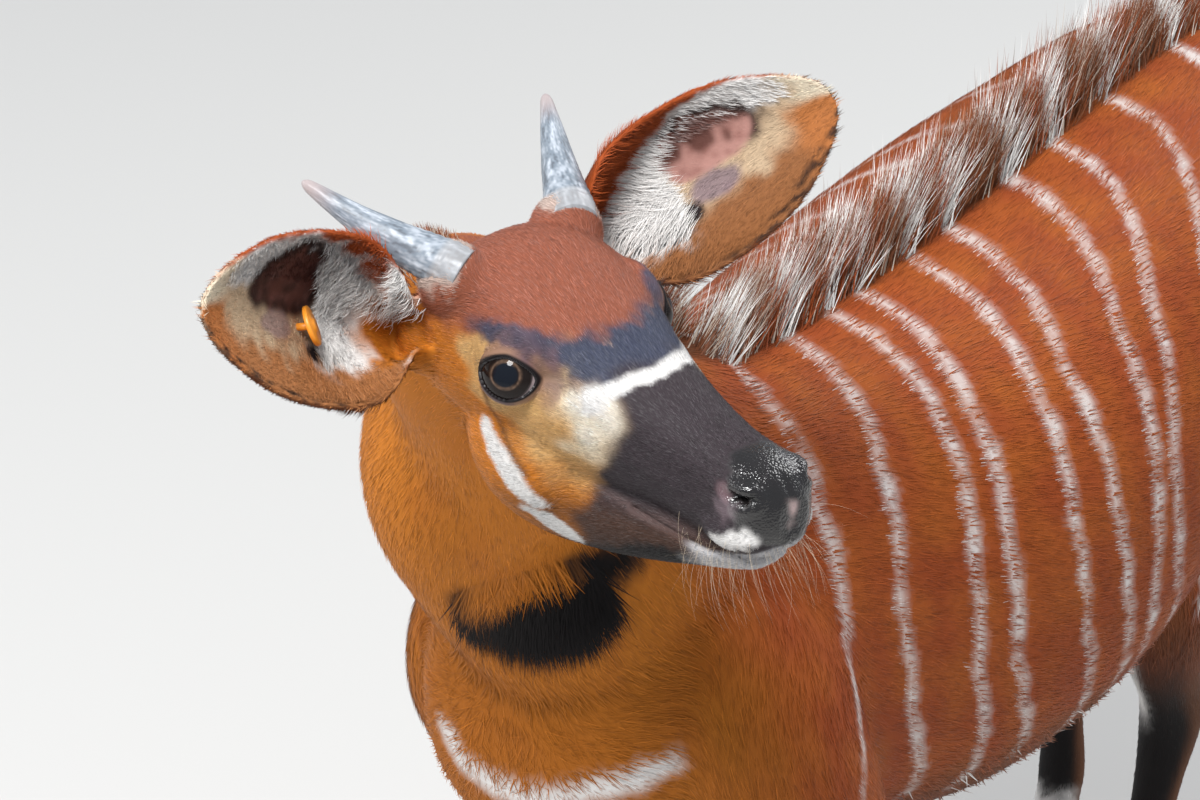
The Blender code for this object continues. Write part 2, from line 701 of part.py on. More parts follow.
def mane(flesh):
    """Two staggered rows of locks along the nape and the back, leaning to the tail."""
    tree = surface(flesh)
    rows = smooth_rows([(*place, *sizes) for place, *sizes in NECK], 12)[::-1]
    tangents = np.gradient(rows[:, :3], axis=0)
    crest = []
    for row, tangent in zip(rows, tangents):
        ahead = Matrix.Rotation(math.radians(row[6]), 3, "Z") @ Vector((0, -1, 0))
        side = Vector(tangent).cross(ahead).normalized()
        behind = side.cross(Vector(tangent)).normalized()
        behind = behind if behind.dot(ahead) < 0 else -behind
        hit = tree.ray_cast(Vector(row[:3]) + behind * 0.3, -behind)[0]
        if hit and row[2] > 0.82:
            crest.append(hit)
    for y in np.arange(0.02, 0.74, 0.01):
        crest.append(tree.ray_cast(Vector((0, y, 1.2)), Vector((0, 0, -1)))[0])
    crest = np.array([tuple(p) for p in crest])
    lengths = np.concatenate([[0], np.cumsum(np.linalg.norm(np.diff(crest, axis=0), axis=1))])
    random.seed(11)
    pieces = []
    count = int((lengths[-1] - 0.05) / MANE_SPACING)
    for k in range(count):
        at = 0.045 + k * MANE_SPACING
        place = Vector([np.interp(at, lengths, crest[:, i]) for i in range(3)])
        later = Vector([np.interp(at + 0.01, lengths, crest[:, i]) for i in range(3)])
        lie = (later - place).normalized()
        normal = tree.find_nearest(place)[1]
        side = lie.cross(normal).normalized()
        row = 1 if k % 2 else -1
        spot, normal, _, _ = tree.find_nearest(place + side * row * 0.006)
        out = (normal * 0.75 + lie * 0.7 + side * row * random.uniform(0.05, 0.2)).normalized()
        fade = min(1.0, 0.55 + 3.0 * at, 0.5 + 2.5 * (lengths[-1] - at))
        length = MANE_LENGTH * fade * random.uniform(0.85, 1.15)
        bend = random.uniform(0.35, 0.6)
        pieces.append(lock("lock", spot, out, lie, side, length, MANE_WIDTH, MANE_THICKNESS, bend))
    return pieces


def tail_and_tuft():
    """The tail, and the locks of its tuft round the last stretch."""
    made = loft("tail", TAIL, (0, 1, 0), sides=12, steps=2)
    random.seed(23)
    pieces = []
    for k in range(TUFT_LOCKS):
        turn = k * 2.4
        place = Vector((0, 0.868, 0.575 - 0.075 * k / TUFT_LOCKS))
        out = Vector((math.cos(turn), math.sin(turn), -3.5)).normalized()
        side = Vector((-math.sin(turn), math.cos(turn), 0))
        flat = side.cross(out)
        length = TUFT_LENGTH * random.uniform(0.8, 1.1)
        pieces.append(
            lock("lock", place, out, (0, 0, -1), flat, length, TUFT_WIDTH, 0.007, 0.20, 0.004)
        )
    return combined(made, pieces, "UNION")


def slit(place, normal, width, depth):
    """A thin flat cutter across a limb."""
    return box("slit", facing(place, normal), (width, depth, GAP))


def body_slits():
    cuts = [
        box("slit", facing((0, -0.10, 0.765), (0, -0.65, 0.76)), (0.36, 0.56, GAP)),
        box("slit", HEAD @ facing(NAPE_PLACE, NAPE_NORMAL), (0.24, 0.36, GAP)),
    ]
    for side, sign in SIDES.items():
        stifle, hock, pastern = (0.560, 0.462), (0.610, 0.340), (0.561, HOOF_HEIGHT)
        stifle, hock, pastern = (
            (y + step_back(side, height), height) for y, height in (stifle, hock, pastern)
        )
        cuts += [
            slit((sign * 0.118, 0.000, 0.485), (-0.6 * sign, 0, 0.8), 0.17, 0.15),
            slit((sign * 0.092, 0.000, 0.300), (0, 0, 1), 0.10, 0.10),
            slit((sign * 0.089, -0.021, HOOF_HEIGHT), (0, 0, 1), 0.08, 0.08),
            slit((sign * 0.112, *stifle), (-0.5 * sign, -0.25, 0.83), 0.30, 0.34),
            slit((sign * 0.096, *hock), (0, 0, 1), 0.10, 0.13),
            slit((sign * 0.089, *pastern), (0, 0, 1), 0.08, 0.08),
        ]
    return cuts


def leg_seeds():
    seeds = {}
    for side, sign in SIDES.items():
        seeds[f"foreleg_{side}_upper"] = (sign * 0.105, 0.004, 0.430)
        seeds[f"foreleg_{side}_lower"] = (sign * 0.090, 0.008, 0.190)
        seeds[f"hindleg_{side}_upper"] = (sign * 0.105, 0.572 + step_back(side, 0.420), 0.420)
        seeds[f"hindleg_{side}_lower"] = (sign * 0.090, 0.604 + step_back(side, 0.190), 0.190)
    return seeds


# Colours of the plain finishes: base colour, roughness
FINISHES = {
    "chestnut": ((0.30, 0.095, 0.030), 0.75),
    "leg": ((0.20, 0.070, 0.028), 0.75),
    "eye": ((0.020, 0.012, 0.008), 0.08),
    "horn": ((0.26, 0.26, 0.27), 0.45),
    "hoof": ((0.035, 0.030, 0.028), 0.40),
    "tag": ((0.85, 0.33, 0.03), 0.40),
}


def finish(obj, kind):
    colour, rough = FINISHES[kind]
    material = bpy.data.materials.new(obj.name)
    material.use_nodes = True
    shader = material.node_tree.nodes["Principled BSDF"]
    shader.inputs["Base Color"].default_value = (*colour, 1)
    shader.inputs["Roughness"].default_value = rough
    shader.inputs["Metallic"].default_value = 0.0
    obj.data.materials.clear()
    obj.data.materials.append(material)


def main():
    for obj in list(bpy.data.objects):
        bpy.data.objects.remove(obj)
    nodes = {}
    flesh = fused("flesh", trunk_and_legs() + skull_pieces(), BODY_VOXEL, BODY_TRIANGLES)
    combined(flesh, mane(flesh), "UNION")
    seeds = {"torso": (0, 0.300, 0.650), "neck": (0.000, -0.160, 0.880), **leg_seeds()}
    nodes.update(parted(flesh, body_slits(), seeds))

    torso = combined(nodes.pop("torso"), [tail_and_tuft()], "UNION")
    dock = slit((0, 0.842, 0.808), (0, 0.80, -0.60), 0.07, 0.07)
    nodes.update(parted(torso, [dock], {"torso": (0, 0.3, 0.65), "tail": (0, 0.873, 0.68)}))

    neck = loft("nape", NECK, (0, -1, 0))
    head = fused("head", skull_pieces() + [neck], HEAD_VOXEL, HEAD_TRIANGLES)
    ahead = HEAD.to_3x3() @ -Vector(NAPE_NORMAL)
    halved(head, HEAD @ Vector(NAPE_PLACE) + ahead * GAP, ahead)
    combined(head, lids(), "UNION")
    combined(head, head_hollows(), "DIFFERENCE")
    nodes["head"] = largest("head", head)
    for side in SIDES:
        nodes[f"horn_{side}"] = seated(f"horn_{side}", horn(side), [nodes["head"]])
    for side in SIDES:
        around = [nodes["head"], nodes["neck"], nodes[f"horn_{side}"]]
        nodes[f"ear_{side}"] = seated(f"ear_{side}", ear(side), around)
    combined(nodes["ear_right"], [tag_pin(TAG_PIN_RADIUS + GAP)], "DIFFERENCE")
    nodes["tag_right"] = ear_tag()

    for side, sign in SIDES.items():
        eye = HEAD @ Matrix.Translation((EYE_PLACE[0], sign * EYE_PLACE[1], EYE_PLACE[2]))
        nodes[f"eye_{side}"] = ellipsoid(f"eye_{side}", eye, (EYE_RADIUS,) * 3, 16, 10)
        back = step_back(side, HOOF_HEIGHT)
        nodes[f"hoof_fore_{side}"] = hoof(f"hoof_fore_{side}", (sign * 0.089, -0.021))
        nodes[f"hoof_hind_{side}"] = hoof(f"hoof_hind_{side}", (sign * 0.089, 0.561 + back))

    lowest = np.min([np.min([v.co for v in o.data.vertices], axis=0) for o in nodes.values()], axis=0)
    highest = np.max([np.max([v.co for v in o.data.vertices], axis=0) for o in nodes.values()], axis=0)
    centre = Matrix.Translation((-(lowest[0] + highest[0]) / 2, -(lowest[1] + highest[1]) / 2, 0))
    group = bpy.data.collections.new("bongo_antelope")
    bpy.context.scene.collection.children.link(group)
    for name, obj in nodes.items():
        obj.name = name
        obj.data.transform(centre)
        bpy.context.scene.collection.objects.unlink(obj)
        group.objects.link(obj)
        kind = name.split("_")[0]
        kind = {"foreleg": "leg", "hindleg": "leg"}.get(kind, kind)
        finish(obj, kind if kind in FINISHES else "chestnut")


main()
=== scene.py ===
# %% [markdown]
# # A young bongo antelope, dressed in its coat
#
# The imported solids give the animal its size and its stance. This lesson builds the looks round
# them: one fine skin in place of the flesh, a coat of thin mesh tufts that lies along it, the
# mane, the ears' long hair, glossy eyes, worn horns, hooves and the ear tag.

# %% Load the frame
import math

import bmesh
import bpy
import numpy as np
from mathutils import Matrix, Vector, kdtree


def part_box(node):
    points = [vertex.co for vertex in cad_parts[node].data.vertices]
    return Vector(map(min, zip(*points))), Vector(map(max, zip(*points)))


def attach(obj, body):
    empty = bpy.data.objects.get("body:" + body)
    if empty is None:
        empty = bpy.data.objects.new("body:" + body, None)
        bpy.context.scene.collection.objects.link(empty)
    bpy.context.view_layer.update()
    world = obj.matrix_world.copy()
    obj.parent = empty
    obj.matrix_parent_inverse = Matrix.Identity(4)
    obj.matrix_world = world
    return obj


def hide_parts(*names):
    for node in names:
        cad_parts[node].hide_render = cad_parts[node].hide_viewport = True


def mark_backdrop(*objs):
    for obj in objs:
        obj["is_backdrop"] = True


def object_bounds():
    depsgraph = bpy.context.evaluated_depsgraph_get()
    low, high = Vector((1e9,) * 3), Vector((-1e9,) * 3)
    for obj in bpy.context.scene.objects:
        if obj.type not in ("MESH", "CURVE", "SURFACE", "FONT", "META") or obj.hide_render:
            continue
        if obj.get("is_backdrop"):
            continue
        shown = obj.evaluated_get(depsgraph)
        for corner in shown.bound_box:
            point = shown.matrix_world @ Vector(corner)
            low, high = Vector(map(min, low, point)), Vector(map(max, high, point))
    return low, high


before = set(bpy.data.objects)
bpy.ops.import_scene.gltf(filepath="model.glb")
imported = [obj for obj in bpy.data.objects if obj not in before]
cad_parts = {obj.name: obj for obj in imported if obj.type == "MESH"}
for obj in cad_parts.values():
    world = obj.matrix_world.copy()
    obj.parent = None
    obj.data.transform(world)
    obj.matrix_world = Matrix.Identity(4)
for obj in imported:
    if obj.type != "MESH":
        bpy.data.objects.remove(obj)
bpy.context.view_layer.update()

random = np.random.default_rng(7)

# %% [markdown]
# ## Where everything is
#
# Every place on the animal is worked out from two landmarks that the frame gives: its eyes.
# The head has axes of its own, forward to the nose, left, and up, from a point just before
# the middle between the eyes, and the head is turned to the animal's left. One could read each
# place off the solids instead, but a few named turns keep the head's features easy to write down.

# %% Landmarks
HEAD_YAW, HEAD_PITCH, HEAD_ROLL = 78.8, 3.2, 0.9
HEAD_CENTRE = np.array((0.169, -0.350, 1.095))
EYES_BACK, EYES_LOW = 0.013, 0.0035
SIDES = {"left": 1, "right": -1}


def box_middle(node):
    low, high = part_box(node)
    return np.array((low + high) / 2)


eye_middle = {side: box_middle(f"eye_{side}") for side in SIDES}
eye_radius = (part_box("eye_left")[1].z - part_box("eye_left")[0].z) / 2

level = Matrix(((0, 1, 0), (-1, 0, 0), (0, 0, 1)))
turn = Matrix.Rotation(math.radians(HEAD_YAW), 3, "Z")
nod = Matrix.Rotation(math.radians(-HEAD_PITCH), 3, "Y")
lean = Matrix.Rotation(math.radians(HEAD_ROLL), 3, "X")
head_axes = np.array(turn @ level @ nod @ lean)
eyes_between = (eye_middle["left"] + eye_middle["right"]) / 2
face_middle = eyes_between + head_axes[:, 0] * EYES_BACK + head_axes[:, 2] * EYES_LOW
origin = face_middle - HEAD_CENTRE


def to_head(points):
    return (np.asarray(points) - face_middle) @ head_axes


def from_head(points):
    return np.asarray(points) @ head_axes.T + face_middle


eye_place = {side: to_head(eye_middle[side]) for side in SIDES}
print("eyes in the head's axes", {s: p.round(4).tolist() for s, p in eye_place.items()})

# %% [markdown]
# ## Lofts
#
# Trunk, neck, legs, tail and skull are lofts: rings set across a path, smooth between a few
# stations. Sculpting by hand would look softer but could not be repeated from numbers, so the
# stations carry the form and the small folds come later. Each point of a loft also remembers
# which part it is on, which way the hair lies there, and its place on a flat layout of the
# parts, side by side like labels peeled off tins.

# %% Helpers for lofts
PARTS = ["trunk", "neck", "foreleg_left", "foreleg_right", "hindleg_left", "hindleg_right",
         "tail", "skull", "jaw", "ear_left", "ear_right", "knob"]
LAYOUT_COLUMNS = 4
lofts = []


def smooth_rows(rows, steps):
    """Catmull-Rom rows through the stations, with this many steps between two of them."""
    rows = np.array(rows, float)
    padded = np.vstack([2 * rows[0] - rows[1], rows, 2 * rows[-1] - rows[-2]])
    out = []
    for i in range(1, len(padded) - 2):
        before, start, end, after = padded[i - 1 : i + 3]
        for t in np.arange(steps) / steps:
            square = 2 * before - 5 * start + 4 * end - after
            cube = 3 * start - before - 3 * end + after
            out.append(0.5 * (2 * start + (end - before) * t + square * t**2 + cube * t**3))
    out.append(rows[-1])
    return np.array(out)


def unit(vectors):
    vectors = np.asarray(vectors, float)
    return vectors / np.maximum(np.linalg.norm(vectors, axis=-1, keepdims=True), 1e-12)


def layout_place(part, along, around):
    """A place on the flat layout: each part has its own cell of the unit square."""
    index = PARTS.index(part)
    column, row = index % LAYOUT_COLUMNS, index // LAYOUT_COLUMNS
    across = (column + 0.04 + 0.92 * np.clip(around, 0, 1)) / LAYOUT_COLUMNS
    upward = (row + 0.04 + 0.92 * np.clip(along, 0, 1)) / 3
    return np.stack([across + 0 * upward, upward + 0 * across], axis=-1)


def keep_loft(part, rings, lie):
    """Stores a loft of the shape (rings, sides, 3) with the lie of the hair at each ring."""
    count, sides, _ = rings.shape
    along, around = np.meshgrid(np.linspace(0, 1, count), np.arange(sides) / sides, indexing="ij")
    lies = np.repeat(unit(lie)[:, None], sides, axis=1) if lie.ndim == 2 else lie
    lofts.append({"part": part, "rings": rings, "lie": lies,
                  "layout": layout_place(part, along, around)})


def path_loft(part, stations, front, hair=1, sides=48, steps=8, moved=None):
    """Rings across a path of (place, half width, reach to the front, reach to the back, turn)."""
    rows = smooth_rows([(*place, *sizes, 0.0)[:7] for place, *sizes in stations], steps)
    path = rows[:, :3]
    tangents = unit(np.gradient(path, axis=0))
    angles = np.arange(sides) * 2 * math.pi / sides
    rings = []
    for place, tangent, (half, fore, aft, turned) in zip(path, tangents, rows[:, 3:]):
        facing = np.array(Matrix.Rotation(math.radians(turned), 3, "Z") @ Vector(front))
        side = unit(np.cross(tangent, facing))
        ahead = np.cross(side, tangent)
        reach = np.where(np.sin(angles) > 0, fore, aft)
        across = np.outer(np.cos(angles) * half, side)
        rings.append(place + across + np.outer(np.sin(angles) * reach, ahead))
    rings = np.array(rings)
    if moved is not None:
        rings = moved(rings)
    keep_loft(part, rings + origin, tangents * hair)


def level_loft(part, stations, hair, axes, start, sides=48, steps=8, square=1.0):
    """Upright rings at (distance, mid height, half width, height, depth) along the first axis."""
    along, side, up = axes
    rows = smooth_rows(stations, steps)
    angles = np.arange(sides) * 2 * math.pi / sides
    wide = np.sign(np.cos(angles)) * np.abs(np.cos(angles)) ** square
    high = np.sign(np.sin(angles)) * np.abs(np.sin(angles)) ** square
    rings = []
    for distance, middle, half, above, below in rows:
        heights = np.outer(middle + high * np.where(high > 0, above, below), up)
        rings.append(start + np.multiply(along, distance) + heights + np.outer(wide * half, side))
    rings = np.array(rings)
    centres = rings.mean(axis=1)
    keep_loft(part, rings, unit(np.gradient(centres, axis=0)) * hair)


# %% [markdown]
# The trunk is widest behind the ribs, as on a grazing animal seen from above, and flat along
# the back. The neck leaves the chest towards the right and swings back to the left, so its
# stations carry a turn as well as a size.

# %% Trunk, neck, legs and tail
TRUNK = [
    (-0.222, 0.655, 0.040, 0.040, 0.040),
    (-0.200, 0.655, 0.088, 0.090, 0.085),
    (-0.150, 0.658, 0.122, 0.135, 0.130),
    (-0.070, 0.665, 0.138, 0.180, 0.175),
    (0.010, 0.670, 0.147, 0.200, 0.202),
    (0.100, 0.655, 0.163, 0.208, 0.215),
    (0.220, 0.642, 0.192, 0.220, 0.240),
    (0.350, 0.645, 0.204, 0.221, 0.248),
    (0.460, 0.658, 0.196, 0.220, 0.236),
    (0.560, 0.690, 0.172, 0.196, 0.212),
    (0.660, 0.730, 0.145, 0.160, 0.165),
    (0.750, 0.755, 0.108, 0.122, 0.120),
    (0.805, 0.765, 0.070, 0.075, 0.080),
    (0.830, 0.765, 0.030, 0.030, 0.030),
]
NECK = [
    ((0.000, 0.030, 0.720), 0.115, 0.185, 0.150, 0),
    ((-0.016, -0.085, 0.790), 0.116, 0.165, 0.135, 5),
    ((-0.032, -0.170, 0.880), 0.104, 0.135, 0.115, 18),
    ((0.012, -0.238, 0.965), 0.074, 0.106, 0.094, 40),
    ((0.038, -0.300, 1.035), 0.064, 0.078, 0.074, 62),
    ((0.084, -0.334, 1.068), 0.050, 0.058, 0.050, 75),
]
FORELEG = [
    ((0.088, -0.040, 0.750), 0.034, 0.074, 0.074),
    ((0.112, -0.072, 0.680), 0.052, 0.092, 0.090),
    ((0.124, -0.058, 0.600), 0.056, 0.080, 0.086),
    ((0.120, -0.012, 0.530), 0.050, 0.058, 0.066),
    ((0.108, 0.005, 0.450), 0.037, 0.043, 0.045),
    ((0.095, 0.002, 0.365), 0.0265, 0.028, 0.030),
    ((0.092, 0.000, 0.300), 0.0275, 0.029, 0.0275),
    ((0.091, 0.004, 0.258), 0.0210, 0.022, 0.0220),
    ((0.090, 0.008, 0.190), 0.0172, 0.0185, 0.0190),
    ((0.089, 0.008, 0.125), 0.0205, 0.021, 0.0235),
    ((0.089, 0.000, 0.095), 0.0200, 0.020, 0.0220),
    ((0.089, -0.014, 0.060), 0.0225, 0.0235, 0.0215),
    ((0.089, -0.024, 0.026), 0.0225, 0.0240, 0.0215),
]
HINDLEG = [
    ((0.072, 0.668, 0.790), 0.052, 0.095, 0.095),
    ((0.090, 0.660, 0.710), 0.072, 0.125, 0.120),
    ((0.104, 0.625, 0.625), 0.074, 0.125, 0.130),
    ((0.111, 0.578, 0.550), 0.063, 0.100, 0.112),
    ((0.110, 0.562, 0.480), 0.048, 0.068, 0.073),
    ((0.104, 0.576, 0.415), 0.035, 0.044, 0.046),
    ((0.098, 0.602, 0.360), 0.0265, 0.0310, 0.0330),
    ((0.094, 0.618, 0.318), 0.0265, 0.0290, 0.0350),
    ((0.092, 0.614, 0.265), 0.0210, 0.0225, 0.0250),
    ((0.090, 0.604, 0.190), 0.0180, 0.0195, 0.0200),
    ((0.089, 0.594, 0.125), 0.0210, 0.0215, 0.0240),
    ((0.089, 0.584, 0.095), 0.0200, 0.0205, 0.0220),
    ((0.089, 0.568, 0.060), 0.0225, 0.0235, 0.0215),
    ((0.089, 0.558, 0.026), 0.0225, 0.0240, 0.0215),
]
TAIL = [
    ((0.000, 0.710, 0.795), 0.026, 0.028, 0.028),
    ((0.000, 0.795, 0.822), 0.023, 0.024, 0.024),
    ((0.000, 0.850, 0.800), 0.019, 0.020, 0.020),
    ((0.000, 0.872, 0.720), 0.0140, 0.014, 0.014),
    ((0.000, 0.874, 0.630), 0.0110, 0.011, 0.011),
    ((0.000, 0.870, 0.540), 0.0090, 0.009, 0.009),
    ((0.000, 0.866, 0.500), 0.0050, 0.005, 0.005),
]
STRIDE = {"left": -0.085, "right": 0.140}
HIP_HEIGHT = 0.780
FRONT = (0, -1, 0)
BODY_AXES = ((0, 1, 0), (1, 0, 0), (0, 0, 1))


def stepping(side):
    """Moves the rings of a hind leg back by its share of the stride, and to its own side."""
    def moved(rings):
        rings = rings.copy()
        rings[..., 1] += STRIDE[side] * np.clip(1 - rings[..., 2] / HIP_HEIGHT, 0, None)
        rings[..., 0] *= SIDES[side]
        return rings
    return moved


def on_side(side):
    return lambda rings: rings * (SIDES[side], 1, 1)


level_loft("trunk", TRUNK, 1, BODY_AXES, origin, sides=72, square=0.92)
path_loft("neck", NECK, FRONT, hair=-1, sides=56)
for side in SIDES:
    path_loft(f"foreleg_{side}", FORELEG, FRONT, moved=on_side(side))
    path_loft(f"hindleg_{side}", HINDLEG, FRONT, moved=stepping(side))
path_loft("tail", TAIL, (0, 1, 0), sides=20)
print(len(lofts), "lofts,", sum(l["rings"][..., 0].size for l in lofts), "points")

# %% [markdown]
# The head is two lofts, skull and jaw, with rounded knobs of muscle and bone added to them:
# brow, cheek, the wings of the nostrils, the pads of the lips, the chin, and the bony feet of
# the horns and ears. Knobs are ellipsoids, given by a centre and three radii on the left side.

# %% Skull, jaw and knobs
SKULL = [
    (-0.124, -0.012, 0.030, 0.024, 0.035),
    (-0.110, -0.006, 0.050, 0.038, 0.058),
    (-0.080, 0.002, 0.063, 0.050, 0.072),
    (-0.040, 0.004, 0.063, 0.051, 0.080),
    (0.000, -0.004, 0.058, 0.043, 0.075),
    (0.040, -0.019, 0.0440, 0.033, 0.064),
    (0.080, -0.032, 0.0335, 0.028, 0.053),
    (0.120, -0.045, 0.0290, 0.0265, 0.046),
    (0.148, -0.052, 0.0300, 0.0285, 0.038),
    (0.164, -0.056, 0.0265, 0.0250, 0.030),
    (0.1745, -0.059, 0.0140, 0.014, 0.016),
]
JAW = [
    (-0.098, -0.066, 0.028, 0.042, 0.036),
    (-0.070, -0.082, 0.042, 0.050, 0.050),
    (-0.030, -0.090, 0.044, 0.052, 0.051),
    (0.020, -0.094, 0.036, 0.036, 0.043),
    (0.065, -0.096, 0.027, 0.026, 0.032),
    (0.105, -0.097, 0.022, 0.019, 0.019),
    (0.136, -0.095, 0.0195, 0.015, 0.0115),
    (0.154, -0.092, 0.0130, 0.010, 0.0075),
]
HORN_PLACE = (-0.074, 0.052, 0.050)
HORN_REACH = {"left": (-0.086, 0.060, 0.034), "right": (-0.085, -0.040, 0.044)}
EAR_PLACE = (-0.102, 0.050, -0.008)
KNOBS = {
    "brow": ((-0.018, 0.050, 0.005), (0.034, 0.0170, 0.029)),
    "cheek": ((-0.030, 0.038, -0.068), (0.044, 0.020, 0.044)),
    "nostril_wing": ((0.152, 0.020, -0.044), (0.016, 0.010, 0.014)),
    "nose_pad": ((0.152, 0.004, -0.057), (0.019, 0.020, 0.020)),
    "lip_pad": ((0.142, 0.020, -0.070), (0.026, 0.013, 0.014)),
    "chin": ((0.139, 0.008, -0.094), (0.018, 0.012, 0.0075)),
    "horn_foot": ((-0.072, 0.047, 0.038), (0.025, 0.023, 0.026)),
    "ear_foot": ((-0.098, 0.046, -0.012), (0.024, 0.022, 0.026)),
}
head_frame = tuple(head_axes.T)
level_loft("skull", SKULL, -1, head_frame, face_middle, square=0.85)
level_loft("jaw", JAW, -1, head_frame, face_middle)


def knob(centre, radii, segments=28, rows=18):
    """The rings of an ellipsoid in the head's axes."""
    polar = np.linspace(0.08, math.pi - 0.08, rows)
    around = np.arange(segments) * 2 * math.pi / segments
    ring = np.stack([np.outer(np.cos(polar), np.ones(segments)),
                     np.outer(np.sin(polar), np.cos(around)),
                     np.outer(np.sin(polar), np.sin(around))], axis=-1)
    return from_head(ring * radii + centre)


for centre, radii in KNOBS.values():
    for sign in SIDES.values():
        rings = knob(np.multiply(centre, (1, sign, 1)), radii)
        keep_loft("knob", rings, np.repeat([-head_axes[:, 0]], len(rings), axis=0))

# %% [markdown]
# Each ear is a cupped leaf of gristle: narrow and nearly closed at its stalk, widest in the
# middle, and open like a spoon towards its tip. It is drawn as a curved sheet with an inner and
# an outer face, which join at the rim, so that it has a real wall.

# %% Ears
EAR_LENGTH, EAR_WIDTH, EAR_WALL = 0.222, 0.106, 0.0044
EAR_LIE = {"left": (0.084, 0.184, 0.093), "right": (0.034, -0.195, 0.100)}
EAR_OPENS = {"left": (0.80, -0.35, 0.48), "right": (0.93, 0.10, 0.35)}
EAR_STATIONS = [
    (-0.05, 0.200, 156),
    (0.06, 0.205, 152),
    (0.15, 0.215, 146),
    (0.24, 0.330, 122),
    (0.32, 0.430, 100),
    (0.42, 0.490, 86),
    (0.58, 0.500, 70),
    (0.74, 0.440, 58),
    (0.88, 0.300, 46),
    (0.96, 0.170, 38),
    (0.995, 0.060, 30),
]


def ear_frame(side):
    """Root and axes of an ear in the row frame: along it, across it, and out of its cup."""
    root = np.multiply(EAR_PLACE, (1, SIDES[side], 1))
    along = unit(EAR_LIE[side])
    opens = unit(EAR_OPENS[side] - along * np.dot(EAR_OPENS[side], along))
    across = np.cross(along, opens)
    axes = [head_axes @ v for v in (along, across, opens)]
    return from_head(root), *axes


def ear_rings(side, columns=33, steps=6):
    root, along, across, opens = ear_frame(side)
    rings = []
    for place, half, curl in smooth_rows(EAR_STATIONS, steps):
        arc = math.radians(curl)
        radius = half * EAR_WIDTH / (math.sin(arc) if curl < 90 else 1.0)
        t = np.linspace(-1, 1, columns) * arc
        middle = root + along * place * EAR_LENGTH - opens * 0.55 * (1 - math.cos(arc)) * radius
        sheets = []
        for wall in (0.5, -0.5):
            reach = radius + wall * EAR_WALL
            sheet = np.outer(np.sin(t) * reach, across) + np.outer(radius - np.cos(t) * reach, opens)
            sheets.append(middle + sheet)
        rings.append(np.vstack([sheets[0], sheets[1][::-1]]))
    return np.array(rings)


for side in SIDES:
    rings = ear_rings(side)
    keep_loft(f"ear_{side}", rings, np.repeat([ear_frame(side)[1]], len(rings), axis=0))
print("ears of", EAR_LENGTH, "m set on the head")

# %% [markdown]
# ## One skin
#
# A voxel remesh melts the overlapping lofts into one surface, with soft fillets where they
# meet. The head needs three times finer voxels than the body, so each is melted on its own,
# both are cut on a plane behind the jaw, and the two rims are bridged: the result is a single
# closed skin with no seam.

# %% Helpers for meshes
def ring_quads(near, far, sides):
    """Faces between two rings of points, each told by the number of its first point."""
    k = np.arange(sides)
    after = (k + 1) % sides
    return np.stack([near + k, near + after, far + after, far + k], 1).tolist()


def loft_mesh(name, kept):
    """One mesh object from lofts, each closed by a fan at both ends."""
    points, faces = [], []
    for loft in kept:
        count, sides, _ = loft["rings"].shape
        start = sum(len(p) for p in points)
        rings = loft["rings"]
        points.append(rings.reshape(-1, 3))
        k = np.arange(sides)
        for row in range(count - 1):
            faces += ring_quads(start + row * sides, start + (row + 1) * sides, sides)
        for ring, first, flip in ((rings[0], start, 1), (rings[-1], start + (count - 1) * sides, -1)):
            apex = start + count * sides + (0 if flip > 0 else 1)
            points.append(ring.mean(axis=0)[None])
            fan = np.stack([first + (k + 1) % sides, first + k, np.full(sides, apex)], 1)
            faces += fan[:, ::flip].tolist()
    mesh = bpy.data.meshes.new(name)
    mesh.from_pydata(np.vstack(points).tolist(), [], faces)
    made = bpy.data.objects.new(name, mesh)
    bpy.context.scene.collection.objects.link(made)
    outward(made)
    return made


def outward(obj):
    mesh = bmesh.new()
    mesh.from_mesh(obj.data)
    bmesh.ops.recalc_face_normals(mesh, faces=mesh.faces)
    mesh.to_mesh(obj.data)
    mesh.free()


def baked(obj):
    """Puts the result of an object's modifiers in its mesh."""
    graph = bpy.context.evaluated_depsgraph_get()
    made = bpy.data.meshes.new_from_object(obj.evaluated_get(graph))
    obj.modifiers.clear()
    obj.data = made
    return obj


def melted(name, kept, voxel, rounds):
    made = loft_mesh(name, kept)
    melt = made.modifiers.new("melt", "REMESH")
    melt.mode = "VOXEL"
    melt.voxel_size = voxel
    soften = made.modifiers.new("soften", "SMOOTH")
    soften.factor = 0.5
    soften.iterations = rounds
    return baked(made)


def cut(obj, place, normal):
    """Keeps the side of a plane that its normal points to, with an open rim."""
    mesh = bmesh.new()
    mesh.from_mesh(obj.data)
    everything = list(mesh.verts) + list(mesh.edges) + list(mesh.faces)
    bmesh.ops.bisect_plane(mesh, geom=everything, plane_co=place, plane_no=normal, clear_inner=True)
    mesh.to_mesh(obj.data)
    mesh.free()


def joined(objects, name):
    """One object made from several, under this name."""
    kept = objects[0]
    with bpy.context.temp_override(
        active_object=kept, selected_editable_objects=objects, object=kept
    ):
        bpy.ops.object.join()
    kept.name = kept.data.name = name
    return kept


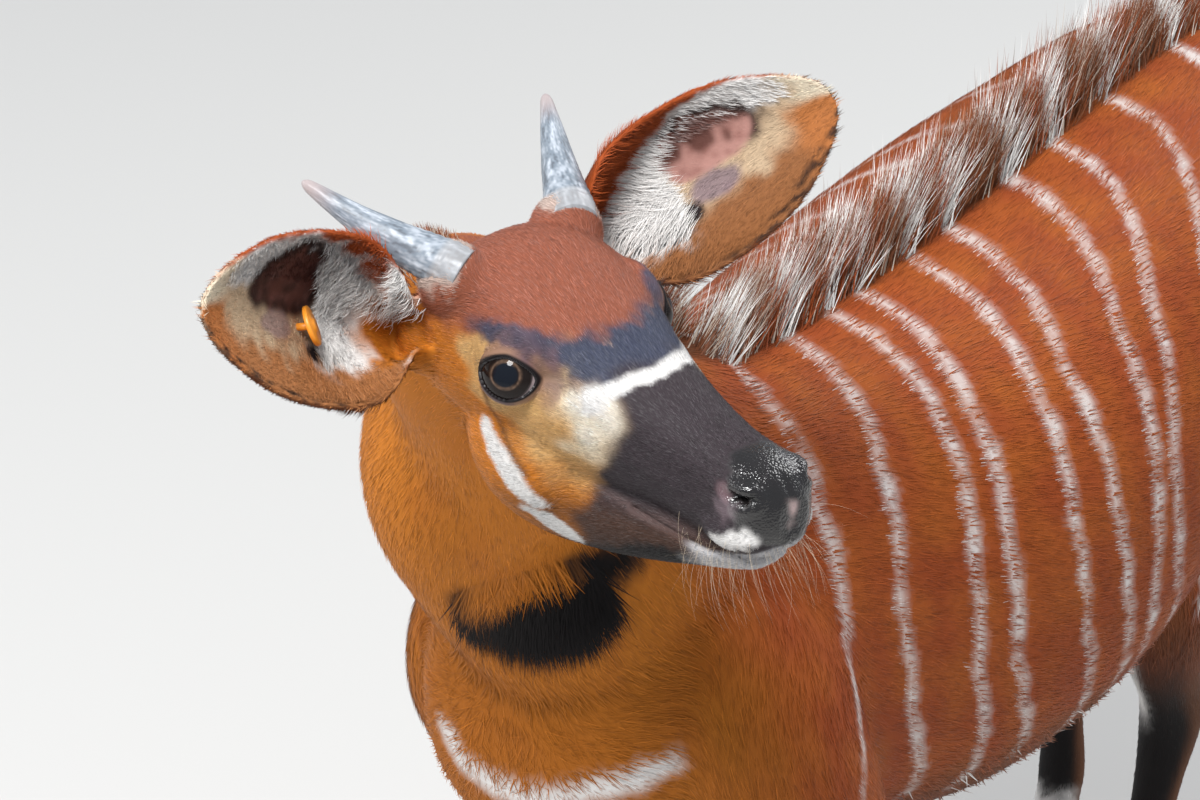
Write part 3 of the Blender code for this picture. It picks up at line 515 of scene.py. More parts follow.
# %% Melt the lofts
BODY_VOXEL, HEAD_VOXEL = 0.0058, 0.0022
NAPE_PLACE, NAPE_NORMAL = np.array((-0.130, 0.020, -0.079)), unit((-0.72, 0.10, -0.69))
SEAM_WIDTH = 0.004
HEAD_PARTS = ("skull", "jaw", "knob", "neck", "ear_left", "ear_right")
body_lofts = [l for l in lofts if not l["part"].startswith("ear")]
head_lofts = [l for l in lofts if l["part"] in HEAD_PARTS]
body = melted("body", body_lofts, BODY_VOXEL, 6)
head = melted("head_skin", head_lofts, HEAD_VOXEL, 5)
nape, behind = from_head(NAPE_PLACE), head_axes @ NAPE_NORMAL
cut(body, nape + behind * SEAM_WIDTH / 2, behind)
cut(head, nape - behind * SEAM_WIDTH / 2, -behind)
print("body", len(body.data.polygons), "faces, head", len(head.data.polygons))

# %% Bridge the rims
skin = joined([body, head], "skin")
mesh = bmesh.new()
mesh.from_mesh(skin.data)
rims = [edge for edge in mesh.edges if edge.is_boundary]
bmesh.ops.bridge_loops(mesh, edges=rims)
bmesh.ops.triangulate(mesh, faces=[face for face in mesh.faces if len(face.verts) > 4])
bmesh.ops.recalc_face_normals(mesh, faces=mesh.faces)
left_open = sum(edge.is_boundary for edge in mesh.edges)
mesh.to_mesh(skin.data)
mesh.free()
print("skin of", len(skin.data.polygons), "faces, open edges left:", left_open)

# %% [markdown]
# ## Folds of the face
#
# Lids, nostrils, the mouth and the groove under the nose are small beside the voxels. Cutting
# them with Booleans would leave hard edges, so the faces round them are divided finer and their
# points are pushed in or out by smooth falloffs from a few lines. The lids are lifted onto the
# eyeball, and inside their opening the skin is pulled behind it.

# %% Helpers for measuring on the skin
EYE_FACES, EYE_SLOPE, EYE_LIFT = math.radians(32), -0.06, 0.0024
EYE_BEHIND, EYE_AHEAD, EYE_ABOVE, EYE_BELOW = 0.0180, 0.0172, 0.0134, 0.0124
EYE_REGION = 0.036
LID_LIFT = 0.0014
NOSTRIL = [(0.143, 0.0310, -0.0385), (0.151, 0.0310, -0.0415), (0.159, 0.0290, -0.0425),
           (0.165, 0.0240, -0.0410)]
NOSTRIL_FLESH = [(0.1465, 0.0305, -0.0400), (0.1490, 0.0300, -0.0410)]
HOLLOW = [(0.010, 0.060, 0.000), (0.024, 0.053, -0.003)]
MOUTH = [(0.058, 0.025, -0.084), (0.095, 0.022, -0.091), (0.120, 0.021, -0.092),
         (0.142, 0.019, -0.087), (0.160, 0.0135, -0.079), (0.171, 0.000, -0.074)]
TEAR_GROOVE = [(0.0100, 0.0530, -0.001), (0.0180, 0.0500, -0.002), (0.0300, 0.0450, -0.004)]
CHEEK_RIDGE = [(0.020, 0.050, -0.030), (0.060, 0.040, -0.042), (0.100, 0.030, -0.052)]


def smooth_step(low, high, value):
    t = np.clip((value - low) / (high - low), 0, 1)
    return t * t * (3 - 2 * t)


def away(points, line):
    """Distance of each point from a line through these places."""
    line = np.asarray(line, float)
    least = np.full(len(points), np.inf)
    for start, end in zip(line, line[1:]):
        run = end - start
        t = np.clip((points - start) @ run / (run @ run), 0, 1)
        least = np.minimum(least, np.linalg.norm(points - start - t[:, None] * run, axis=1))
    return least


def read_points(data, what="co"):
    flat = np.empty(len(data.vertices) * 3)
    data.vertices.foreach_get(what, flat)
    return flat.reshape(-1, 3)


def write_points(data, points):
    data.vertices.foreach_set("co", np.asarray(points, np.float32).ravel())
    data.update()


def mirrored_head(points):
    """Places in the head's axes with both sides folded onto the left."""
    place = to_head(points)
    return place * np.where(place[:, 1:2] < 0, (1, -1, 1), 1)


def opening(place):
    """Under 1 inside the opening between the lids, over 1 outside it; and the reach from the eye."""
    offset = place - eye_place["left"]
    toward = unit(offset) * eye_radius
    ahead = toward @ (math.cos(EYE_FACES), -math.sin(EYE_FACES), 0.0)
    facing = toward @ (math.sin(EYE_FACES), math.cos(EYE_FACES), 0.0)
    slanted = toward[:, 2] - EYE_LIFT - EYE_SLOPE * ahead
    half = np.where(ahead > 0, EYE_AHEAD, EYE_BEHIND)
    high = np.where(slanted > 0, EYE_ABOVE, EYE_BELOW)
    shape = (np.abs(ahead / half) ** 1.7 + np.abs(slanted / high) ** 1.7) ** (1 / 1.7)
    near = (facing > 0.002) & (np.linalg.norm(offset, axis=1) < EYE_REGION)
    return np.where(near, shape, 9.0), offset


def divide_near(data, chosen):
    """Divides the edges between the chosen points."""
    mesh = bmesh.new()
    mesh.from_mesh(data)
    mesh.verts.ensure_lookup_table()
    edges = [e for e in mesh.edges if chosen[e.verts[0].index] and chosen[e.verts[1].index]]
    bmesh.ops.subdivide_edges(mesh, edges=edges, cuts=1, use_grid_fill=True)
    mesh.to_mesh(data)
    mesh.free()


# %% Divide the face finer
smooth_mouth = smooth_rows(MOUTH, 5)
for reach_eye, reach_line in ((0.029, 0.008), (0.026, 0.0045)):
    place = mirrored_head(read_points(skin.data))
    near_eye = np.linalg.norm(place - eye_place["left"], axis=1) < reach_eye + 0.004
    near_lines = np.minimum(away(place, smooth_mouth), away(place, NOSTRIL)) < reach_line
    divide_near(skin.data, near_eye | near_lines)
print("skin divided to", len(skin.data.polygons), "faces")

# %% [markdown]
# Hair lies from the nose to the tail and down the legs. Combing it by hand would be possible,
# but the lofts know their own direction, so each point of the skin asks the nearest point of a
# loft, and the answers are blurred until neighbours agree.

# %% Each point's part and lie
flat = {key: np.vstack([l[key].reshape(-1, l[key].shape[-1]) for l in lofts])
        for key in ("rings", "lie", "layout")}
loft_part = np.concatenate([np.full(l["rings"][..., 0].size, PARTS.index(l["part"])) for l in lofts])
tree = kdtree.KDTree(len(flat["rings"]))
for index, place in enumerate(flat["rings"]):
    tree.insert(place, index)
tree.balance()
at = read_points(skin.data)
nearest = np.array([tree.find(p)[1] for p in at])
part, layout = loft_part[nearest], flat["layout"][nearest]
edges = np.empty(len(skin.data.edges) * 2, np.int32)
skin.data.edges.foreach_get("vertices", edges)
edges = edges.reshape(-1, 2)


def averaged(field, rounds):
    """A field on the points, blurred along the edges of the skin."""
    count = np.bincount(edges.ravel(), minlength=len(field))[:, None] + 1
    for _ in range(rounds):
        total = field.copy()
        for axis in range(field.shape[1]):
            total[:, axis] += np.bincount(edges[:, 0], field[edges[:, 1], axis], len(field))
            total[:, axis] += np.bincount(edges[:, 1], field[edges[:, 0], axis], len(field))
        field = total / count
    return field


lie = flat["lie"][nearest].copy()
low_flank = np.isin(part, [0, 1]) & (np.abs(read_points(skin.data, "normal")[:, 2]) < 0.8)
lie[low_flank] += (0, 0, -0.30)
lie = unit(averaged(lie, 25))
print("points on each part", dict(zip(PARTS, np.bincount(part, minlength=len(PARTS)).tolist())))

# %% [markdown]
# Each fold below is a depth times a bell-shaped falloff from its line. The lids are set by
# their distance from the middle of the eye, so that they hug the ball without touching it.

# %% Push the folds in
COAT_DEPTH, FACE_DEPTH = 0.0030, 0.0008
CHEEK_SMOOTH = (0.016, 0.034, -0.078)
calmer = np.exp(-((np.linalg.norm(mirrored_head(at) - CHEEK_SMOOTH, axis=1) / 0.024) ** 2))[:, None]
at = at + (averaged(at, 60) - at) * calmer
write_points(skin.data, at)
normal = read_points(skin.data, "normal")

# The skin sinks by the depth of the coat that will cover it
is_ear = np.isin(part, [PARTS.index("ear_left"), PARTS.index("ear_right")])
from_eyes = np.linalg.norm(at - face_middle, axis=1)
thick_coat = smooth_step(0.16, 0.26, from_eyes) * smooth_step(0.28, 0.50, at[:, 2])
depth = FACE_DEPTH + (COAT_DEPTH - FACE_DEPTH) * thick_coat
depth = averaged(np.where(is_ear, 0.0002, depth)[:, None], 6)
at = at - normal * depth
print("room for a coat of", depth.min().round(4), "to", depth.max().round(4), "m")

# %% Nostrils, mouth and hollows
# Height of each fold, its line, how far beside the line it runs, and its width
FOLDS = [
    (-0.0075, NOSTRIL[1:3], 0, 0.0034),
    (-0.0025, NOSTRIL, 0, 0.0024),
    (0.0012, NOSTRIL, 0.0070, 0.0028),
    (-0.0026, smooth_mouth, 0, 0.0015),
    (0.0009, smooth_mouth, 0.0045, 0.0025),
    (-0.0014, TEAR_GROOVE, 0, 0.0020),
    (0.0010, CHEEK_RIDGE, 0, 0.0060),
]
place = mirrored_head(at)
sign = np.where(to_head(at)[:, 1:2] < 0, -1, 1)
at -= 0.0070 * np.exp(-((away(place, HOLLOW) / 0.0095) ** 2))[:, None] * head_axes[:, 1] * sign
place = mirrored_head(at)
push = np.zeros(len(at))
for height, line, aside, width in FOLDS:
    push += height * np.exp(-(((away(place, line) - aside) / width) ** 2))
nose_line = np.abs(place[:, 1]) / 0.0016
push -= 0.0012 * np.exp(-(nose_line**2)) * smooth_step(0.160, 0.168, place[:, 0])
at += normal * push[:, None]
print("deepest fold", round(float(-push.min()) * 1000, 1), "mm")

# %% Lids
place = mirrored_head(at)
shape, offset = opening(place)
reach = np.linalg.norm(offset, axis=1)
lid = eye_radius + LID_LIFT - 0.0005 * np.clip(shape - 1.0, 0, 1)
crease = 0.0011 * np.exp(-(((shape - 1.36) / 0.08) ** 2)) * (offset[:, 2] > -0.002)
from_rim = reach * 0.8 * (1 - 1 / np.maximum(shape, 1))
ahead_share = np.clip(unit(offset)[:, 0], 0, 1)
hug = 1 - smooth_step(0.0005, 0.0075 + 0.0060 * ahead_share, from_rim)
held = reach + (eye_radius + LID_LIFT - reach) * hug
over_eye = np.maximum(np.maximum(held, lid) - crease, eye_radius + 0.0007)
outside = np.where((shape > 0.985) & (shape < 2.6), over_eye, reach)
wanted = np.where(shape < 0.985, np.minimum(reach, eye_radius - 0.0022), outside)
wanted = reach + (wanted - reach) * smooth_step(EYE_REGION, EYE_REGION - 0.008, reach)
scale = (wanted / np.maximum(reach, 1e-9))[:, None]
sign = np.where(to_head(at)[:, 1:2] < 0, (1, -1, 1), 1)
at = from_head((eye_place["left"] + offset * scale) * sign)
write_points(skin.data, at)
normal = read_points(skin.data, "normal")
print("skin spans", (at.max(axis=0) - at.min(axis=0)).round(3))

# %% [markdown]
# ## Markings
#
# A bongo is chestnut, with thin white stripes down its sides, a white chevron below the eyes,
# white spots on the cheek, a dark muzzle, and legs banded in black and white. An image wrapped
# round the skin could show all this, but a rule that gives a colour for any place works for the
# skin and for every hair alike, so both always agree. The edges are roughened by a wavy field,
# because hair never ends a colour on a clean line.

# %% Colours
CHESTNUT = (0.325, 0.062, 0.013)
ORANGE = (0.580, 0.185, 0.018)
FOREHEAD = (0.285, 0.088, 0.050)
TAN = (0.640, 0.380, 0.150)
CREAM = (0.840, 0.720, 0.540)
SLATE = (0.050, 0.057, 0.092)
MUZZLE = (0.046, 0.035, 0.040)
BROWN = (0.100, 0.042, 0.018)
BLACK = (0.010, 0.008, 0.008)
WHITE = (0.820, 0.790, 0.760)
GREY = (0.500, 0.490, 0.500)
MAUVE = (0.170, 0.095, 0.105)


def ripple(points, size, seed):
    """A wavy field between about -1 and 1 with lumps of this size."""
    draw = np.random.default_rng(seed)
    total = np.zeros(len(points))
    for _ in range(14):
        wave = unit(draw.normal(size=3)) * draw.uniform(0.5, 1.7) * 2 * math.pi / size
        total += np.sin(points @ wave + draw.uniform(0, 2 * math.pi))
    return total / 3.7


def painted(colour, other, amount):
    return colour + (np.asarray(other) - colour) * np.clip(amount, 0, 1)[:, None]


def stroke(points, line, half, soft=0.002):
    """1 on a line of this half width, falling to 0 over its soft edge."""
    return 1 - smooth_step(half - soft, half + soft, away(points, line))


# %% [markdown]
# The stripes are told by where each one crosses five heights of the flank. Between them the
# crossings are read off a line, so a point's distance from the nearest stripe is a difference
# along the body, the same on both sides.

# %% Stripes
STRIPE_HEIGHTS = (0.50, 0.60, 0.70, 0.80, 0.87)
STRIPES = [
    (-0.040, -0.030, -0.006, -0.001, 0.020),
    (0.120, 0.073, 0.051, 0.069, 0.100),
    (0.175, 0.138, 0.128, 0.141, 0.150),
    (0.220, 0.174, 0.163, 0.172, 0.190),
    (0.290, 0.250, 0.230, 0.237, 0.255),
    (0.340, 0.300, 0.278, 0.275, 0.312),
    (0.370, 0.336, 0.333, 0.345, 0.396),
    (0.420, 0.370, 0.356, 0.390, 0.455),
    (0.500, 0.450, 0.430, 0.470, 0.535),
    (0.560, 0.520, 0.510, 0.560, 0.635),
    (0.640, 0.605, 0.600, 0.650, 0.720),
]
STRIPE_ENDS = (0.600, 0.500, 0.480, 0.500, 0.470, 0.480, 0.500, 0.470, 0.500, 0.520, 0.560)
STRIPE_HALF = 0.0027


def stripes(at):
    """1 on a white stripe of the trunk, 0 between."""
    place = at - origin
    waver = 0.0016 * ripple(at, 0.030, 3)
    on = np.zeros(len(at))
    for number, (crossings, end) in enumerate(zip(STRIPES, STRIPE_ENDS)):
        line = np.interp(place[:, 2], STRIPE_HEIGHTS, crossings)
        gap = np.abs(place[:, 1] + waver - line)
        half = STRIPE_HALF * (1 + 0.25 * ripple(at, 0.05, 40 + number))
        stripe = 1 - smooth_step(half - 0.0012, half + 0.0018, gap)
        low = smooth_step(end - 0.03, end + 0.02, place[:, 2] + 0.015 * ripple(at, 0.06, 60 + number))
        broken = 1 - 0.7 * smooth_step(0.75, 1.1, ripple(at, 0.045, 80 + number))
        on = np.maximum(on, stripe * low * np.where(place[:, 2] < 0.66, broken, 1))
    return on


# %% [markdown]
# The face is painted in the head's own axes, folded left onto right. Places on the cheek are
# told by how far forward and how high they are, whatever the width of the head there.

# %% Lines and spots of the face
CHEVRON = [(0.041, 0.041, -0.006), (0.048, 0.036, -0.005), (0.055, 0.026, 0.000), (0.061, 0.010, 0.003),
           (0.063, 0.000, 0.004)]
BROW = [(-0.045, 0.060, 0.020), (-0.022, 0.060, 0.024), (-0.001, 0.057, 0.024), (0.021, 0.043, 0.014),
        (0.038, 0.030, 0.009)]
LID_SHADE = [(-0.002, 0.060, 0.013), (0.012, 0.054, 0.006), (0.030, 0.043, -0.001)]
BEHIND_EYE = [(-0.036, -0.020), (-0.034, -0.036), (-0.022, -0.054), (-0.008, -0.074)]
CHEEK_SPOTS = [[(-0.043, -0.050), (-0.029, -0.066), (-0.017, -0.082), (-0.007, -0.095)],
               [(-0.016, -0.108), (0.003, -0.121)]]
PALE_GROOVE = [(0.034, -0.078), (0.066, -0.087), (0.098, -0.090)]
LIP_SPOT = [(0.138, 0.029, -0.078), (0.152, 0.029, -0.071), (0.163, 0.024, -0.067)]
MOUTH_SIDE = np.array([(p[0], p[2]) for p in MOUTH])


# %% Fur of the face
def face_fur(at, normal, place, rough, wide):
    """Orange cheeks, a dark brow and bridge, pale patches, the chevron and the cheek spots."""
    ahead, out, up = place.T
    profile = place[:, (0, 2)]
    top = smooth_step(0.2, 0.7, normal @ head_axes[:, 2] + 20 * rough)
    colour = np.tile(np.array(ORANGE), (len(at), 1))
    colour = painted(colour, FOREHEAD, smooth_step(-0.004, 0.026, up + wide) * smooth_step(0.2, -0.06, -up))
    eye_ring = np.linalg.norm((place - eye_place["left"]) * (1, 0.6, 1.15), axis=1)
    colour = painted(colour, TAN, 1 - smooth_step(0.028, 0.044, eye_ring + wide))
    cheek = np.linalg.norm(profile - (0.026, -0.036), axis=1)
    colour = painted(colour, TAN, 0.9 * (1 - smooth_step(0.026, 0.056, cheek + wide)))
    pale = np.linalg.norm((profile - (0.046, -0.020)) * (1.0, 0.8), axis=1)
    colour = painted(colour, CREAM, 0.95 * (1 - smooth_step(0.012, 0.036, pale + wide)))
    colour = painted(colour, WHITE, 0.45 * (1 - smooth_step(0.004, 0.022, pale + wide)))
    colour = painted(colour, FOREHEAD, top * smooth_step(0.012, 0.024, up + 0.3 * wide))
    colour = painted(colour, (0.200, 0.100, 0.080), 0.75 * stroke(place, LID_SHADE, 0.0045 + rough, 0.0045))
    brow_half = 0.0052 + 0.0040 * smooth_step(-0.045, 0.010, ahead)
    slate_edge = np.interp(out, (0.0, 0.013, 0.030, 0.046), (0.028, 0.026, 0.018, 0.008))
    slate = smooth_step(-0.006, 0.006, ahead - slate_edge + 0.25 * wide + rough)
    slate = slate * smooth_step(-0.012, -0.002, up)
    colour = painted(colour, SLATE, slate * top)
    brow = stroke(place, BROW, brow_half + rough, 0.004) * smooth_step(-0.050, -0.022, ahead + wide)
    colour = painted(colour, SLATE, 0.94 * brow)
    edge = np.interp(up, (-0.120, -0.100, -0.086, -0.076, -0.058, -0.039, -0.021, -0.008, 0.0),
                     (0.010, 0.016, 0.028, 0.027, 0.042, 0.056, 0.064, 0.059, 0.052))
    colour = painted(colour, MUZZLE, smooth_step(-0.009, 0.009, ahead - edge + 0.6 * wide))
    # Lower down, the jaw turns brown, and its underside is painted black: painted shade under the jaw.
    colour = painted(colour, BROWN, 0.6 * smooth_step(-0.074, -0.100, up) * smooth_step(-0.06, 0.0, ahead))
    under = np.interp(ahead, (-0.03, 0.02, 0.06, 0.10, 0.13), (-0.134, -0.124, -0.108, -0.102, -0.108))
    colour = painted(colour, BLACK, smooth_step(0.005, -0.005, up - under + rough) * (ahead > -0.05))
    colour = painted(colour, (0.150, 0.100, 0.095), 0.55 * stroke(profile, PALE_GROOVE, 0.0026, 0.0026))
    colour = painted(colour, WHITE, stroke(place, CHEVRON, 0.0052 + 0.4 * rough, 0.0010))
    blot = np.linalg.norm(place - (0.044, 0.041, -0.010), axis=1)
    colour = painted(colour, WHITE, 1 - smooth_step(0.0075, 0.0095, blot + rough))
    for spot in CHEEK_SPOTS:
        from_middle = np.linalg.norm(profile - np.mean(spot, axis=0), axis=1)
        taper = 0.0118 - 0.20 * from_middle.clip(0, 0.03) + 0.4 * rough
        colour = painted(colour, WHITE, stroke(profile, spot, taper, 0.0010) * (out > 0.012))
    colour = painted(colour, BROWN, 0.85 * stroke(profile, BEHIND_EYE, 0.0020, 0.0018) * (out > 0.03))
    axis_run = unit(np.array(HORN_REACH["left"]))
    from_foot = place - HORN_PLACE
    from_horn = np.linalg.norm(from_foot - np.outer(from_foot @ axis_run, axis_run), axis=1)
    return painted(colour, (0.560, 0.480, 0.420), 0.7 * smooth_step(0.0215, 0.0185, from_horn + rough)
                   * (from_foot @ axis_run > -0.012))


# %% Nose, lips and chin
def nose_and_lips(at, colour, place, rough, wide):
    """The colour with the muzzle's marks and painted shade on it, the share of bare nose, and the share of
    chin.
    """
    ahead, out, up = place.T
    profile = place[:, (0, 2)]
    below = profile[:, 1] - np.interp(ahead, MOUTH_SIDE[:, 0], MOUTH_SIDE[:, 1])
    chin = smooth_step(0.0, -0.003, below) * smooth_step(0.090, 0.118, ahead + wide)
    colour = painted(colour, GREY, chin * smooth_step(-0.118, -0.104, up))
    colour = painted(colour, WHITE, stroke(place, LIP_SPOT, 0.0062 + rough, 0.0012) * (below > 0))
    pore = smooth_step(0.75, 1.05, ripple(at, 0.0034, 12))
    colour = painted(colour, BLACK, pore * 0.75 * (ahead > 0.105) * (below > -0.012))
    pad_edge = np.interp(up, (-0.076, -0.064, -0.052, -0.041, -0.031, -0.024, -0.016),
                         (0.172, 0.155, 0.148, 0.150, 0.143, 0.137, 0.132))
    nose = smooth_step(-0.002, 0.002, ahead - pad_edge + 0.6 * rough) * smooth_step(-0.077, -0.073, up)
    nose = nose * (1 - stroke(place, LIP_SPOT, 0.0062 + rough, 0.0012))
    colour = painted(colour, BLACK, nose)
    streak = (1 - smooth_step(0.0016, 0.0034, out + rough)) * smooth_step(0.158, 0.166, ahead)
    streak = streak * smooth_step(-0.045, -0.049, up + 0.4 * wide)
    streak = streak * smooth_step(-0.066, -0.060, up + 0.4 * wide)
    colour = painted(colour, (0.560, 0.400, 0.380), 0.85 * streak)
    under_nostril = np.linalg.norm((place - (0.146, 0.031, -0.051)) * (0.8, 1, 1.2), axis=1)
    lip_share = 1 - smooth_step(0.004, 0.012, under_nostril + rough)
    colour = painted(colour, (0.230, 0.170, 0.190), 0.75 * lip_share)
    colour = painted(colour, MAUVE, stroke(place, NOSTRIL, 0.0056, 0.002) * (1 - nose) * 0.7)
    # The nostril's opening is painted black, a painted shade inside the hole.
    colour = painted(colour, (0.003, 0.002, 0.002), stroke(place, NOSTRIL[1:], 0.0032, 0.0012))
    colour = painted(colour, (0.150, 0.080, 0.080), stroke(place, NOSTRIL_FLESH, 0.0022, 0.0014))
    # The line of the mouth is painted black, a painted shade in the gap between the lips.
    colour = painted(colour, BLACK, stroke(place, smooth_mouth, 0.0012, 0.0006))
    return colour, nose, chin * (below > -0.003)


# %% Lids and the whole head
def lids_and_corner(colour, place, rough):
    """The colour with the eye's dark rim and corner on it, and how far each point is off it."""
    shape, offset = opening(place)
    corner = stroke(place, TEAR_GROOVE, 0.0024, 0.0016)
    colour = painted(colour, MAUVE, 0.8 * corner)
    colour = painted(colour, MAUVE, 0.7 * (1 - smooth_step(1.15, 1.55, shape + 20 * rough)))
    below_eye = smooth_step(0.0, -0.006, offset[:, 2]) * smooth_step(0.016, 0.008, offset[:, 0])
    below_eye = below_eye * (1 - smooth_step(1.22, 1.42, shape))
    colour = painted(colour, (0.105, 0.090, 0.125), 0.75 * below_eye)
    lids = 1 - smooth_step(1.06, 1.15, shape)
    return painted(colour, (0.012, 0.009, 0.010), lids), shape


def face(at, normal):
    """Colour of the head, how wet it is, and how bare of hair."""
    place = mirrored_head(at)
    rough = 0.0022 * ripple(at, 0.012, 5)
    wide = 0.006 * ripple(at, 0.03, 6)
    colour = face_fur(at, normal, place, rough, wide)
    colour, nose, chin = nose_and_lips(at, colour, place, rough, wide)
    colour, shape = lids_and_corner(colour, place, rough)
    wet = np.maximum.reduce([nose, 0.7 * (1 - smooth_step(0.98, 1.02, shape)),
                             stroke(place, NOSTRIL, 0.0055, 0.001), 0.4 * chin])
    bare = np.maximum.reduce([nose, 1 - smooth_step(1.12, 1.24, shape),
                              stroke(place, NOSTRIL, 0.0062, 0.001),
                              stroke(place, smooth_mouth, 0.0022, 0.001)])
    return colour, wet, bare


# %% [markdown]
# The back of an ear is chestnut. Its front shows a bare pit with white hair round it, a dark
# lower edge and a pale tip. The two ears of one animal are never quite alike, so each has its
# own list of ovals, told by how far along and how far up the ear they are. The right ear's pit
# is painted nearly black, a painted shade inside its cup.

# %% Places in an ear
def ear_place(at, side):
    """Along an ear (0 to 1), across it (-1 lower edge to 1 upper edge), and inside its cup."""
    root, along, across, opens = ear_frame(side)
    way = -SIDES[side]
    offset = at - root
    reach = offset @ along / EAR_LENGTH
    stations = np.array(EAR_STATIONS)
    half = np.interp(reach, stations[:, 0], stations[:, 1]) * EAR_WIDTH
    return reach, way * (offset @ across) / np.maximum(half, 0.004), root, along, opens


# Places in an ear are told by how far along and how far up it they are, with their two radii
EAR_MARKS = {
    "left": {
        "low": (0.300, 0.118, 0.042), "skin": (0.540, 0.280, 0.235),
        "pit": ((0.600, 0.36), (0.165, 0.38)),
        "patch": ((0.575, -0.17), (0.100, 0.19)), "patch_colour": (0.250, 0.180, 0.210),
        "spot": ((0.470, -0.32), (0.055, 0.16)), "mass": 0.425, "hair": 0.024,
        "top": ((0.15, 0.30, 0.44, 0.60, 0.75, 1.00), (0.25, 0.45, 0.68, 0.90, 0.96, 1.00)),
    },
    "right": {
        # The right ear's pit skin is painted nearly black, a painted shade deep in its cup.
        "low": (0.400, 0.160, 0.055), "skin": (0.040, 0.015, 0.011),
        "pit": ((0.535, 0.43), (0.180, 0.40)),
        "patch": ((0.570, -0.02), (0.090, 0.18)), "patch_colour": (0.430, 0.290, 0.260),
        "spot": ((0.375, -0.34), (0.040, 0.13)), "mass": 0.350, "hair": 0.020,
        "top": ((0.15, 0.60, 1.00), (0.88, 0.93, 0.97)),
    },
}


# %% Colours of an ear
def ear_colour(at, normal, side):
    reach, edge, root, along, opens = ear_place(at, side)
    axis = root + np.outer(reach * EAR_LENGTH, along) + opens * 0.030
    inner = smooth_step(-0.1, 0.25, np.einsum("ij,ij->i", normal, unit(axis - at)))
    wide = ripple(at, 0.018, 21)
    back = np.tile(np.array(CHESTNUT) * 1.25, (len(at), 1))
    back = painted(back, CREAM, 0.8 * smooth_step(0.86, 0.97, reach + 0.03 * wide))
    back = painted(back, BROWN, 0.8 * smooth_step(-0.72, -0.94, edge + 0.08 * wide))
    mark = EAR_MARKS[side]
    front = np.tile(np.array(mark["low"]), (len(at), 1))
    front = painted(front, (0.620, 0.450, 0.290), smooth_step(-0.50, -0.05, edge + 0.12 * wide))
    tip_low = smooth_step(0.80, 0.90, reach + 0.03 * wide) * smooth_step(0.45, 0.1, edge)
    front = painted(front, (0.460, 0.160, 0.045), tip_low)
    upper = smooth_step(0.40, 0.58, edge + 0.08 * wide) * smooth_step(0.92, 0.80, reach)
    front = painted(front, WHITE, upper)
    mass = smooth_step(mark["mass"] + 0.04, mark["mass"] - 0.03, reach + 0.03 * wide)
    front = painted(front, WHITE, mass * smooth_step(-0.75, -0.55, edge + 0.10 * wide))
    tip_high = smooth_step(0.84, 0.92, reach + 0.02 * wide) * smooth_step(0.15, 0.45, edge)
    front = painted(front, CREAM, tip_high)

    def oval(name):
        (u, v), (half_long, half_wide) = mark[name]
        return np.hypot((reach - u) / half_long, (edge - v) / half_wide) + 0.09 * wide

    pit = oval("pit")
    pit_along, pit_up = mark["pit"][0]
    above_pit = (edge - pit_up) / 0.33
    fringe = smooth_step(-0.2, 0.5, above_pit + 1.2 * (reach - pit_along) / 0.15)
    fringe = (1 - smooth_step(1.02, 1.38, pit)) * fringe
    front = painted(front, (0.045, 0.022, 0.018), fringe)
    front = painted(front, mark["skin"], 1 - smooth_step(0.86, 1.02, pit))
    mottle = (1 - smooth_step(0.80, 0.98, pit)) * smooth_step(0.1, 0.9, ripple(at, 0.007, 24))
    front = painted(front, (0.260, 0.100, 0.080), 0.6 * mottle)
    blotch = smooth_step(-0.4, 0.5, 0.8 * wide + 1.3 * above_pit)
    front = painted(front, (0.110, 0.036, 0.026), 0.85 * blotch * (1 - smooth_step(0.80, 0.98, pit)))
    front = painted(front, mark["patch_colour"], 0.85 * (1 - smooth_step(0.75, 1.05, oval("patch"))))
    front = painted(front, (0.022, 0.014, 0.014), 1 - smooth_step(0.7, 1.0, oval("spot")))
    top = np.interp(reach, *mark["top"])
    front = painted(front, CHESTNUT, smooth_step(-0.02, 0.05, edge - top + 0.03 * wide))
    low_rim = np.interp(reach, (0.40, 0.63, 0.86, 1.0), (-1.00, -0.90, -0.76, -0.74))
    dashes = smooth_step(-0.5, 0.3, ripple(at, 0.011, 23))
    front = painted(front, (0.030, 0.016, 0.012), 0.9 * smooth_step(0.05, -0.04, edge - low_rim) * dashes)
    bare = inner * (1 - smooth_step(0.85, 0.98, pit))
    both = painted(painted(back, front, inner), ORANGE, smooth_step(0.21, 0.13, reach + 0.02 * wide))
    return both, 0.15 * bare, bare


# %% [markdown]
# The body runs from orange at the neck to chestnut on the rump, with a dark line along the
# back, a black throat patch and a white crescent on the chest. The legs end in dark and white
# bands, which help to tell the species.

# %% Colours of the body and legs
THROAT_PATCH, THROAT_SHAPE = (0.040, -0.243, 0.810), (1.20, 0.95, 1.65)
THROAT_BAND = [(0.050, -0.236, 0.815), (0.082, -0.190, 0.834)]
CHEST_CRESCENT = [(-0.060, -0.212, 0.652), (-0.045, -0.219, 0.638), (-0.017, -0.222, 0.629),
                  (0.020, -0.222, 0.630), (0.050, -0.219, 0.641), (0.073, -0.208, 0.652),
                  (0.108, -0.176, 0.669)]


